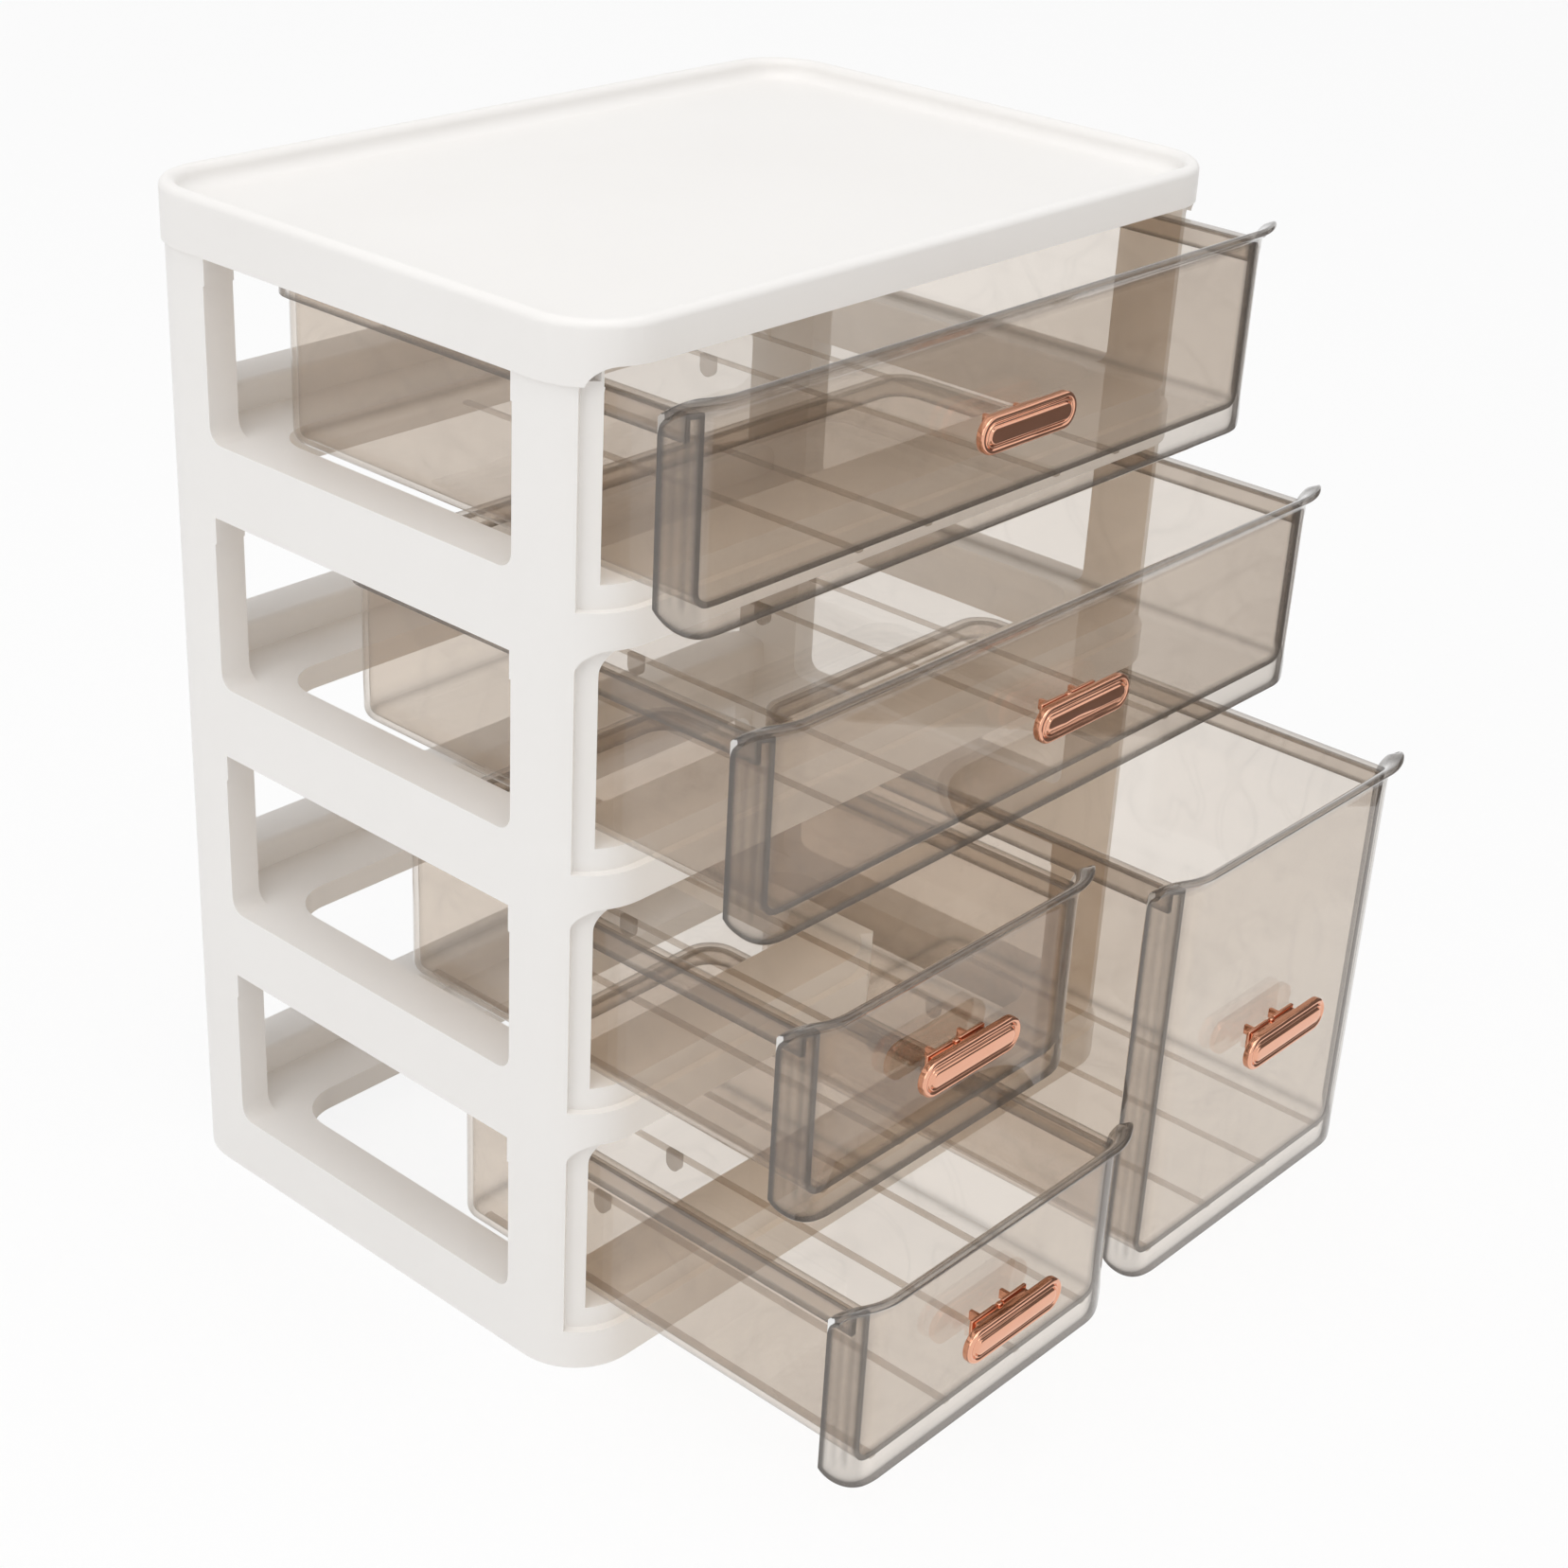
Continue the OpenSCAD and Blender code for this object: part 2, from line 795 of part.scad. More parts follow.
// sweeps a section along the plate: its x is the radius from the arcs' centres
module plate_sweep_solid(x0, x1) {
    c0 = x0 + arc_reach;
    c1 = x1 - arc_reach;
    translate([c0, -arc_y])
        rotate(180)
            rotate_extrude(angle = 90)
                children();
    translate([c1, -arc_y])
        rotate(270)
            rotate_extrude(angle = 90)
                children();
    translate([c1, -arc_y])
        rotate([90, 0, -90])
            linear_extrude(c1 - c0)
                children();
}

// points on an arc round c, from angle a0 to angle a1 in n steps
function arc_points(c, r, a0, a1, n) =
    [for (i = [0:n]) let (a = a0 + (a1 - a0) * i / n) c + r * [cos(a), sin(a)]];

// section of the plate: an upright wall whose upper edge curves forwards to a lip
module plate_profile(low, high) {
    steps = 6;
    nose_r = plate_t / 2;
    mid_r = flare_r + nose_r;
    flare_end = 180 - flare_sweep;
    centre = [corner_r + flare_r, high - nose_r - mid_r * sin(flare_sweep)];
    nose = centre + mid_r * [cos(flare_end), sin(flare_end)];
    polygon(concat(
        [[corner_r, low]],
        arc_points(centre, flare_r, 180, flare_end, steps),
        arc_points(nose, nose_r, flare_end - 150, flare_end - 30, 3),
        arc_points(centre, flare_r + plate_t, flare_end, 180, steps),
        [[corner_r - plate_t, low]]
    ));
}

// outline of the plate seen from the front
module plate_front(x0, x1, height) {
    top_r = plate_top_r;
    low_r = plate_low_r;
    for (x = [x0 + low_r, x1 - low_r])
        translate([x, low_r])
            circle(low_r);
    for (x = [x0 + top_r, x1 - top_r])
        translate([x, height - top_r])
            circle(top_r);
    translate([x0, low_r])
        square([x1 - x0, height - top_r - low_r]);
    translate([x0 + low_r, 0])
        square([x1 - x0 - 2 * low_r, height]);
    translate([x0 + top_r, low_r])
        square([x1 - x0 - 2 * top_r, height - low_r]);
}

// upright hollow with tapered ends, cut into the face of the plate's curved end
module flute(x, side, low, high) {
    axis_r = corner_r + flute_r - flute_d;
    end_r = flute_r - 2 * flute_d;
    translate([x + side * axis_r * sin(flute_at), -arc_y - axis_r * cos(flute_at), 0])
        rotate_extrude()
            polygon([
                [0, low], [end_r, low], [flute_r, low + flute_taper],
                [flute_r, high - flute_taper], [end_r, high], [0, high]
            ]);
}

// slot for the handle's tongue
module handle_slot(x, z) {
    translate([x, front_y + plate_t / 2, z])
        cube([prongs_w + 2 * slot_play, plate_t + 2 * cut, prongs_h + 2 * slot_play], center = true);
}

// ---------- handles ----------

// snap-in handle whose stem meets the front plate at x, y = front_y and height z
module handle(x, z) {
    translate([x, front_y, z]) {
        bar();
        stem();
        prongs();
    }
}

module bar() {
    straight = bar_l - bar_h;
    translate([0, -bar_reach, 0])
        rotate([90, 0, 0]) {
            for (side = [-1, 1])
                translate([side * straight / 2, 0, 0])
                    rotate(side > 0 ? -90 : 90)
                        rotate_extrude(angle = 180)
                            bar_profile();
            for (side = [-1, 1])
                translate([-side * straight / 2, 0, 0])
                    rotate([90, 0, side * 90])
                        linear_extrude(straight)
                            bar_profile();
        }
}

// half section of the bar: x from its centre line outwards, y from its back to its face
module bar_profile() {
    r = bar_h / 2;
    s = bar_step;
    polygon([
        [0, 0], [r - s, 0], [r, s], [r, bar_t - s / 2], [r - s / 2, bar_t],
        [r - 1.5 * s, bar_t], [r - 2 * s, bar_t + s], [r - 3.2 * s, bar_t + s],
        [r - 3.7 * s, bar_t + s / 2], [r - 4.5 * s, bar_t + s / 2], [r - 5 * s, bar_t + s], [0, bar_t + s]
    ]);
}

// flat stem between the bar and the plate, with a foot that seats on the plate
module stem() {
    translate([-stem_w / 2 + stem_foot, -bar_reach - embed, -stem_h / 2])
        cube([stem_w - 2 * stem_foot, bar_reach + embed, stem_h]);
    translate([-stem_w / 2, -stem_foot, -stem_h / 2])
        cube([stem_w, stem_foot, stem_h]);
}

// two prongs through the plate, each with a catch behind it
module prongs() {
    edge = prongs_w / 2;
    behind = plate_t + catch_gap;
    for (side = [-1, 1])
        mirror([side > 0 ? 0 : 1, 0, 0])
            translate([0, 0, -prongs_h / 2])
                linear_extrude(prongs_h)
                    polygon([
                        [edge - prong_t, -embed], [edge, -embed], [edge, behind],
                        [edge + prong_catch, behind], [edge, behind + 2 * prong_catch],
                        [edge - prong_t, behind + 2 * prong_catch]
                    ]);
}

// ---------- placed pieces ----------

wide_runners = [-2 * wide_tab_x, -wide_tab_x, wide_tab_x, 2 * wide_tab_x];
wide_tabs = [-wide_tab_x, wide_tab_x];
small_mid = (small_x1 - plate_x) / 2;
small_pitch = (small_x1 + plate_x) / 4;
small_runners = [for (k = [-1.5:1:1.5]) small_mid + k * small_pitch];
small_tabs = [small_mid - small_pitch / 2, small_mid + small_pitch / 2];
tall_runners = [for (x = small_runners) -x];
tall_tabs = [for (x = small_tabs) -x];

module top_drawer() {
    color(smoke)
        translate([0, -top_pull, 0])
            drawer(-plate_x, plate_x, 3, 1, wide_runners, wide_tabs, handle_z);
}

module middle_drawer() {
    color(smoke)
        translate([0, -middle_pull, 0])
            drawer(-plate_x, plate_x, 2, 1, wide_runners, wide_tabs, handle_z);
}

module small_upper_drawer() {
    color(smoke)
        translate([0, -small_upper_pull, 0])
            drawer(-plate_x, small_x1, 1, 1, small_runners, small_tabs, handle_z);
}

module small_lower_drawer() {
    color(smoke)
        translate([0, -small_lower_pull, 0])
            drawer(-plate_x, small_x1, 0, 1, small_runners, small_tabs, handle_z);
}

module tall_drawer() {
    color(smoke)
        translate([0, -tall_pull, 0])
            drawer(tall_x0, plate_x, 0, 2, tall_runners, tall_tabs, tall_handle_z);
}

module top_drawer_handle() {
    color(rose_gold)
        translate([0, -top_pull, 0])
            handle(0, floor_z(3) + handle_z);
}

module middle_drawer_handle() {
    color(rose_gold)
        translate([0, -middle_pull, 0])
            handle(0, floor_z(2) + handle_z);
}

module small_upper_handle() {
    color(rose_gold)
        translate([0, -small_upper_pull, 0])
            handle(small_mid, floor_z(1) + handle_z);
}

module small_lower_handle() {
    color(rose_gold)
        translate([0, -small_lower_pull, 0])
            handle(small_mid, floor_z(0) + handle_z);
}

module tall_drawer_handle() {
    color(rose_gold)
        translate([0, -tall_pull, 0])
            handle(-small_mid, floor_z(0) + tall_handle_z);
}

base_frame();
split_shelf_frame();
middle_shelf_frame();
upper_shelf_frame();
top_tray();
top_drawer();
middle_drawer();
small_upper_drawer();
small_lower_drawer();
tall_drawer();
top_drawer_handle();
middle_drawer_handle();
small_upper_handle();
small_lower_handle();
tall_drawer_handle();
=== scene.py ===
# %% [markdown]
# # Desktop mini drawers
# A white stacking frame carries five clear smoke drawers with rose-gold pulls. This notebook
# dresses the measured model: it softens the frame's edges, draws the drawers anew as thin
# curved sheets, gives the pulls their stepped faces, and gives every piece a plastic or plated
# finish of its own. Sizes are in millimetres and are multiplied by MM on their way into Blender.

# %% Load the measured model
import math

import bmesh
import bpy
from mathutils import Matrix, Vector


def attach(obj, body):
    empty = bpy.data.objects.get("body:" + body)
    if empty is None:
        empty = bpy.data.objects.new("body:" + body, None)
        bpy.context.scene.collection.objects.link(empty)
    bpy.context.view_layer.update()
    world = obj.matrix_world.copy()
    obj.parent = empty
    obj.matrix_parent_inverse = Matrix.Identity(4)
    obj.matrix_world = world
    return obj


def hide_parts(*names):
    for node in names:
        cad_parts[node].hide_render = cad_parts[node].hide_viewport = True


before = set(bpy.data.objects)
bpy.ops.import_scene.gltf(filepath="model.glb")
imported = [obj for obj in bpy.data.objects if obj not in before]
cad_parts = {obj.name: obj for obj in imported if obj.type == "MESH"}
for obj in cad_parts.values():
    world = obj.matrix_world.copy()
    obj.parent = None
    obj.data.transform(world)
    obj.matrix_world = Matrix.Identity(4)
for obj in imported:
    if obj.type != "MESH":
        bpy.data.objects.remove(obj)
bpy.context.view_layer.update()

MM = 0.001

# %% [markdown]
# ## Camera
# The photo looks down on the drawers from the front left with a long lens, and the camera is
# turned a little on its own axis. Its place could be found by eye, but straight edges in the
# photo give it better: where they meet tells the direction and the lens. A camera's matrix
# holds its right, up and backward directions as columns, so the three angles are turned into
# those directions here.

# %% Camera
AZIMUTH, ELEVATION, ROLL = 0.864, 0.471, 0.056
CAMERA_PLACE = (-0.5969, -0.5554, 0.5376)
FOCAL_PIXELS, PICTURE_PIXELS, SENSOR_MM = 2869.6, 1657, 36.0

ahead = Vector((
    math.sin(AZIMUTH) * math.cos(ELEVATION),
    math.cos(AZIMUTH) * math.cos(ELEVATION),
    -math.sin(ELEVATION),
))
level = Vector((math.cos(AZIMUTH), -math.sin(AZIMUTH), 0))
upright = level.cross(ahead)
right = math.cos(ROLL) * level + math.sin(ROLL) * upright
up = math.cos(ROLL) * upright - math.sin(ROLL) * level

lens = bpy.data.cameras.new("photo_camera")
lens.sensor_width = SENSOR_MM
lens.lens = FOCAL_PIXELS / PICTURE_PIXELS * SENSOR_MM
lens.clip_start = 0.01
camera = bpy.data.objects.new("photo_camera", lens)
camera.matrix_world = Matrix.Translation(Vector(CAMERA_PLACE)) @ Matrix(
    (right, up, -ahead)).transposed().to_4x4()
bpy.context.scene.collection.objects.link(camera)
bpy.context.scene.camera = camera
print("lens, mm:", round(lens.lens, 2))

# %% [markdown]
# ## Shader maths as plain expressions
# A finish is a small network of nodes. It could be wired by hand, one link at a time, but then a
# simple sum takes many lines. Wrapping each socket in a class that overloads plus, minus, times
# and power lets a mask be written as one line of Python, and one method adds any other node.


# %% Sockets that can be added and multiplied
class Socket:
    """The output of a node; expressions on it add Math nodes."""

    def __init__(self, network, socket):
        self.network = network
        self.socket = socket

    def maths(self, operation, first, second):
        return self.network.node("Math", {"operation": operation}, {0: first, 1: second})

    def __add__(self, other):
        return self.maths("ADD", self, other)

    def __sub__(self, other):
        return self.maths("SUBTRACT", self, other)

    def __mul__(self, other):
        return self.maths("MULTIPLY", self, other)

    def __pow__(self, other):
        return self.maths("POWER", self, other)

    def __rsub__(self, other):
        return self.maths("SUBTRACT", other, self)

    __radd__ = __add__
    __rmul__ = __mul__


class Network:
    """A node tree, of a material or of the sky, that is emptied and built up again."""

    def __init__(self, tree, output_kind):
        self.tree = tree
        self.tree.nodes.clear()
        self.output = self.tree.nodes.new("ShaderNode" + output_kind)

    def node(self, kind, settings=None, inputs=None, output=0):
        """Adds a node of that kind, sets its settings first and then its sockets."""
        made = self.tree.nodes.new("ShaderNode" + kind)
        for key, value in (settings or {}).items():
            setattr(made, key, value)
        for key, value in (inputs or {}).items():
            if isinstance(value, Socket):
                self.tree.links.new(value.socket, made.inputs[key])
            else:
                made.inputs[key].default_value = value
        return Socket(self, made.outputs[output])

    def show(self, surface):
        """Links a shader to the tree's output."""
        self.tree.links.new(surface.socket, self.output.inputs["Surface"])


class Finish(Network):
    """A material under construction."""

    def __init__(self, name):
        self.material = bpy.data.materials.new(name)
        self.material.use_nodes = True
        super().__init__(self.material.node_tree, "OutputMaterial")

    def place(self, scale=(1, 1, 1)):
        """Object coordinates in metres, stretched by scale."""
        coords = self.node("TexCoord", output="Object")
        return self.node("Mapping", {}, {"Vector": coords, "Scale": scale})

    def noise(self, size_mm, detail=2, stretch=(1, 1, 1), distortion=0.0):
        """Noise from 0 to 1 whose blobs are about size_mm across."""
        return self.node("TexNoise", {}, {
            "Vector": self.place(stretch), "Scale": 1 / (size_mm * MM), "Detail": detail,
            "Distortion": distortion})

    def between(self, low, high, mask):
        """A colour between two colours, by a mask from 0 to 1."""
        return self.node("Mix", {"data_type": "RGBA"}, {
            "Factor": mask, 6: (*low, 1), 7: (*high, 1)}, output=2)

    def mixed(self, first, second, factor):
        return self.node("MixShader", {}, {0: factor, 1: first, 2: second})

    def finished(self, surface):
        self.show(surface)
        return self.material


print("socket maths ready")

# %% [markdown]
# ## From bmesh to object
# Every form here is built as a bmesh, a mesh that Python can edit directly, and not with the
# editing tools of the window, which depend on what is selected. When it is done, it is written
# into an object at the origin, which is neither turned nor scaled.


# %% Mesh helpers
def edges_of(geom):
    return [g for g in geom if isinstance(g, bmesh.types.BMEdge)]


def verts_of(geom):
    return [g for g in geom if isinstance(g, bmesh.types.BMVert)]


def as_object(name, mesh, material):
    """Writes a bmesh into a new object in the scene and frees it."""
    data = bpy.data.meshes.new(name)
    mesh.to_mesh(data)
    mesh.free()
    data.materials.append(material)
    made = bpy.data.objects.new(name, data)
    bpy.context.scene.collection.objects.link(made)
    return made


print("mesh helpers ready")

# %% [markdown]
# ## Floor, backdrop and sky
# The photo stands the drawers in a white studio. A bare white world would do for the backdrop,
# but then nothing would catch the drawers' shadow. So the floor is a pale sheet of paper that
# turns up behind them in one smooth bend, as in a studio. What the camera sees of it is lifted
# towards white with a little emission, while the soft shadow stays on it. The sky does the same:
# it is white where it is seen, and lights the object at a plainer level.

# %% Paper sheet
SKY_LIGHT, PAPER_GLOW = 0.68, 0.88
PAPER_HALF_WIDTH, BACKDROP_Y, BACKDROP_TOP = 8, 2.2, 3.0
BEND_SIZE, BEND_STEPS = 0.8, 16
WHITE = (1, 1, 1, 1)


def seen_directly(network):
    """1 for rays that the eye, a mirror or clear plastic sends out."""
    seen = [network.node("LightPath", output=name)
            for name in ("Is Camera Ray", "Is Glossy Ray", "Is Transmission Ray")]
    return network.node(
        "Math", {"operation": "MINIMUM"}, {0: seen[0] + seen[1] + seen[2], 1: 1.0})


paper = Finish("studio_paper")
grain = paper.noise(60, 3)
lit = paper.node("BsdfPrincipled", {}, {
    "Base Color": paper.between((0.86, 0.86, 0.86), (0.9, 0.9, 0.9), grain),
    "Roughness": 0.9, "Specular IOR Level": 0.1})
glow = paper.node("Emission", {}, {"Color": WHITE, "Strength": 1.0})
paper_material = paper.finished(paper.mixed(lit, glow, seen_directly(paper) * PAPER_GLOW))

sheet = bmesh.new()
profile = ((-PAPER_HALF_WIDTH, 0), (BACKDROP_Y, 0), (BACKDROP_Y, BACKDROP_TOP))
edge = [sheet.verts.new((-PAPER_HALF_WIDTH, y, z)) for y, z in profile]
edges = [sheet.edges.new(pair) for pair in zip(edge, edge[1:])]
made = bmesh.ops.extrude_edge_only(sheet, edges=edges)["geom"]
bmesh.ops.translate(sheet, verts=verts_of(made), vec=(2 * PAPER_HALF_WIDTH, 0, 0))
fold = [e for e in sheet.edges if len(e.link_faces) == 2]
bmesh.ops.bevel(sheet, geom=fold, offset=BEND_SIZE, segments=BEND_STEPS, affect="EDGES",
                profile=0.5, material=-1)
for face in sheet.faces:
    face.smooth = True
floor = as_object("studio_floor", sheet, paper_material)
print("paper sheet faces:", len(floor.data.polygons))

# %% Sky
world = bpy.data.worlds.new("studio_sky")
world.use_nodes = True
bpy.context.scene.world = world
sky = Network(world.node_tree, "OutputWorld")
sky.show(sky.node("Background", {}, {
    "Color": WHITE, "Strength": seen_directly(sky) * (1 - SKY_LIGHT) + SKY_LIGHT}))
print("sky lights at", SKY_LIGHT, "and is seen as white")

# %% [markdown]
# ## Lamps and dark cards
# Soft light comes mostly from above and from the left, as the shading of the white frame shows.
# Lamps and sky stay at a plain level, so that a colour comes out about as it is written. Plated
# parts look flat in an all-white studio. A photographer puts dark cards beside them, and so do we:
# two cards stand where only mirror reflections can find them, and cast no shadow.

# %% Lamps
OBJECT_MIDDLE = (0, 0, 0.15)


def turned_towards(place, direction):
    """The matrix of something at place whose own Z points along direction."""
    turned = Vector(direction).to_track_quat("Z", "Y").to_matrix().to_4x4()
    return Matrix.Translation(place) @ turned


def softbox(name, place, size, power):
    """A square lamp at place that faces the object."""
    light = bpy.data.lights.new(name, "AREA")
    light.size = size
    light.energy = power
    lamp = bpy.data.objects.new(name, light)
    lamp.matrix_world = turned_towards(place, Vector(place) - Vector(OBJECT_MIDDLE))
    bpy.context.scene.collection.objects.link(lamp)


softbox("top_softbox", (-0.3, -0.4, 1.9), 1.6, 12)
softbox("left_softbox", (-1.7, 0.1, 1.1), 1.1, 5.5)
softbox("front_softbox", (0.5, -2.0, 0.9), 1.2, 1)


# %% Dark cards
def dark_card(name, centre, direction, width, height):
    """A dark card that only mirror reflections see, as used beside plated parts."""
    card = bmesh.new()
    bmesh.ops.create_grid(
        card, x_segments=1, y_segments=1, size=0.5,
        matrix=turned_towards(centre, direction) @ Matrix.Diagonal((width, height, 1, 1)))
    dark = Finish("dark_card")
    black_paper = dark.finished(dark.node(
        "BsdfDiffuse", {}, {"Color": (0.2, 0.19, 0.185, 1)}))
    made = as_object(name, card, black_paper)
    made.visible_camera = made.visible_diffuse = made.visible_transmission = False
    made.visible_shadow = made.visible_volume_scatter = False
    print(name, "stands at", centre)


dark_card("front_right_card", (0.32, -0.40, 0.22), (-0.76, 0.65, 0), 0.8, 0.44)
dark_card("overhead_card", (0.1, -0.55, 1.1), (-0.1, 0.4, -0.9), 0.5, 0.16)

# %% [markdown]
# ## How light is followed
# Looking through all the drawers, a ray can cross some thirty clear walls, and each crossing
# counts as a bounce. With Blender's usual limits the last walls would turn black, so the limits
# are raised. More diffuse bounces keep the inside of the white frame bright.

# %% Light paths
bpy.context.scene.view_settings.view_transform = "Standard"
bpy.context.scene.cycles.transparent_max_bounces = 40
bpy.context.scene.cycles.max_bounces = 14
bpy.context.scene.cycles.diffuse_bounces = 8
print("clear walls in a row:", bpy.context.scene.cycles.transparent_max_bounces)

# %% [markdown]
# ## White frame plastic
# The frame is satin off-white moulded plastic: a warm grey-white with a very fine texture from
# the mould and a slow drift of tone. A single flat colour would look computer-made, and an image
# texture needs a picture, so noise in the object's own coordinates does both jobs.

# %% Off-white frame plastic
frame_finish = Finish("satin_white_plastic")
tone = frame_finish.noise(70, 3)
speckle = frame_finish.noise(1.1)
frame_bump = frame_finish.node("Bump", {}, {
    "Strength": 0.03, "Distance": 0.0002, "Height": frame_finish.noise(0.55, 3)})
frame_white = frame_finish.finished(frame_finish.node("BsdfPrincipled", {}, {
    "Base Color": frame_finish.between((0.855, 0.832, 0.808), (0.885, 0.868, 0.848), tone),
    "Roughness": speckle * 0.12 + 0.36,
    "Specular IOR Level": 0.45,
    "Normal": frame_bump}))
print("finish:", frame_white.name)

# %% [markdown]
# ## Clear smoke plastic
# The drawers are clear plastic with a smoke-brown tint. Real refraction through so many thin
# walls is slow and noisy, and thin walls hardly bend light. So a Transparent shader carries the
# tint once for each face that a ray crosses, and a mirror-like layer grows towards grazing
# angles. Sheet edges gather the tint and look dark: that comes from an attribute named rim, which
# each drawer's mesh carries from 0 to 1. The same attribute carries painted shade in the fronts'
# flutes and in their strips below the floors, and a painted highlight round the lips' noses. Faint
# winding lines stand for the flow marks of a moulded sheet. Light that only passes through on its
# way to the white frame loses less of itself, as it does in a bright studio.

# %% Clear smoke plastic
GRAZING_TINT, RIM_TINT, FLOW_TINT, DRIFT_TINT = 0.4, 0.72, 0.03, 0.02
GRAZING_GLOSS, STRAIGHT_GLOSS = 0.8, 0.043
FLOW_THINNESS = 26

smoke_finish = Finish("clear_smoke_plastic")
facing = smoke_finish.node("LayerWeight", {}, {"Blend": 0.5}, output="Facing")
rim_mask = smoke_finish.node(
    "Attribute", {"attribute_name": "rim", "attribute_type": "GEOMETRY"}, output="Fac")
drift = smoke_finish.noise(45)
ripple = smoke_finish.node("Bump", {}, {
    "Strength": 0.3, "Distance": 0.0005, "Height": smoke_finish.noise(55, 1)})
flow = smoke_finish.noise(52, 1, (1, 1, 0.8), distortion=1.6)
off_line = smoke_finish.node("Math", {"operation": "ABSOLUTE"}, {0: flow * 2 - 1})
flow_line = (1 - off_line) ** FLOW_THINNESS
clear = smoke_finish.node("BsdfTransparent", {}, {"Color": (0.928, 0.896, 0.862, 1)})
thinned = smoke_finish.node("BsdfTransparent", {}, {"Color": (0.98, 0.962, 0.94, 1)})
tinted = smoke_finish.node("BsdfPrincipled", {}, {
    "Base Color": smoke_finish.between((0.072, 0.062, 0.055), (0.1, 0.086, 0.077), drift),
    "Roughness": smoke_finish.noise(9) * 0.05 + 0.08,
    "IOR": 1.49,
    "Normal": ripple})
gloss = smoke_finish.node("BsdfPrincipled", {}, {
    "Base Color": WHITE, "Metallic": 1.0, "Roughness": 0.015, "Normal": ripple})
# Besides edge darkening, rim_mask carries painted shade (flutes, strips below the floors) and a
# painted highlight (lower values round the lips' noses).
depth = ((facing ** 4) * GRAZING_TINT + rim_mask * RIM_TINT
         + flow_line * FLOW_TINT + drift * DRIFT_TINT)
smoke_body = smoke_finish.mixed(clear, tinted, depth)
smoke_seen = smoke_finish.mixed(
    smoke_body, gloss, (facing ** 5) * GRAZING_GLOSS + STRAIGHT_GLOSS)
lighting = (smoke_finish.node("LightPath", output="Is Shadow Ray")
            + smoke_finish.node("LightPath", output="Is Diffuse Ray"))
smoke_clear = smoke_finish.finished(smoke_finish.mixed(smoke_seen, thinned, lighting))
print("finish:", smoke_clear.name)

# %% [markdown]
# ## Rose-gold plating
# The pulls are plastic mouldings with a thin bright coat of copper-coloured metal. A metallic
# surface that is nearly smooth gives the hard reflections, and a faint lengthwise waviness from
# the moulding under it breaks them up.

# %% Rose-gold plating
plate_finish = Finish("rose_gold_plating")
wave = plate_finish.node("Bump", {}, {
    "Strength": 0.5, "Distance": 0.0006, "Height": plate_finish.noise(5, 1, (0.35, 1, 1))})
rose_gold = plate_finish.finished(plate_finish.node("BsdfPrincipled", {}, {
    "Base Color": plate_finish.between(
        (0.76, 0.385, 0.255), (0.84, 0.45, 0.31), plate_finish.noise(12)),
    "Metallic": 1.0,
    "Roughness": plate_finish.noise(2.5, 3) * 0.05 + 0.03,
    "Normal": wave}))
print("finish:", rose_gold.name)

# %% [markdown]
# ## Helpers that sweep a section
# Most of these mouldings are one section carried along a path: straight, round a corner, straight
# again. Their faces could be listed by hand or cut out of blocks, but sweeping gives clean strips
# that follow the form. A short chain of vertices is the section. `run` extrudes it in a straight
# line and `turn` spins it round an upright axis, and both hand back the far end, ready for the
# next stretch.


# %% Sweeping helpers
def new_mesh():
    """An empty bmesh whose vertices carry the rim value."""
    mesh = bmesh.new()
    mesh.verts.layers.float.new("rim")
    return mesh


def chain(mesh, points, closed=False):
    """Vertices joined by edges; each point is x, y, z and a rim value."""
    layer = mesh.verts.layers.float["rim"]
    verts = []
    for x, y, z, rim in points:
        vert = mesh.verts.new((x * MM, y * MM, z * MM))
        vert[layer] = rim
        verts.append(vert)
    pairs = list(zip(verts, verts[1:])) + ([(verts[-1], verts[0])] if closed else [])
    return verts + [mesh.edges.new(pair) for pair in pairs]


def turn(mesh, geom, centre, degrees, steps):
    """Spins the end of a sweep round the upright axis through centre."""
    return bmesh.ops.spin(
        mesh, geom=geom, cent=(centre[0] * MM, centre[1] * MM, 0), axis=(0, 0, 1),
        angle=math.radians(degrees), steps=steps, use_merge=False)["geom_last"]


def run(mesh, geom, shift):
    """Extrudes the end of a sweep by shift."""
    made = bmesh.ops.extrude_edge_only(mesh, edges=edges_of(geom))["geom"]
    bmesh.ops.translate(mesh, verts=verts_of(made), vec=Vector(shift) * MM)
    return [g for g in made if not isinstance(g, bmesh.types.BMFace)]


def arc(centre, radius, start, end, steps):
    """Points on an arc in a section, as pairs."""
    turns = [start + (end - start) * k / steps for k in range(steps + 1)]
    return [(centre[0] + radius * math.cos(math.radians(t)),
             centre[1] + radius * math.sin(math.radians(t))) for t in turns]


def fade(value):
    """The value, held between 0 and 1."""
    return min(1.0, max(0.0, value))


def piece(name, mesh, material, body, smooth_angle=35):
    """Turns a bmesh into an object that rides on a body, with soft shading below an angle."""
    bmesh.ops.remove_doubles(mesh, verts=mesh.verts, dist=1e-6)
    bmesh.ops.recalc_face_normals(mesh, faces=mesh.faces)
    limit = math.radians(smooth_angle)
    for line in mesh.edges:
        line.smooth = len(line.link_faces) == 2 and line.calc_face_angle(0) < limit
    for face in mesh.faces:
        face.smooth = True
    made = as_object(name, mesh, material)
    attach(made, body)
    return made


print("sweeping helpers ready")

# %% [markdown]
# ## Frame mouldings
# The five white mouldings already have their full shape in the measured model. They could be
# modelled again, but a copy keeps every size. Real mouldings have no knife edges, though, and a
# small radius is what catches the light. So each one is copied, its triangles are merged into
# whole faces, and a Bevel modifier softens its sharp edges. The tray's rim is a little rounder.

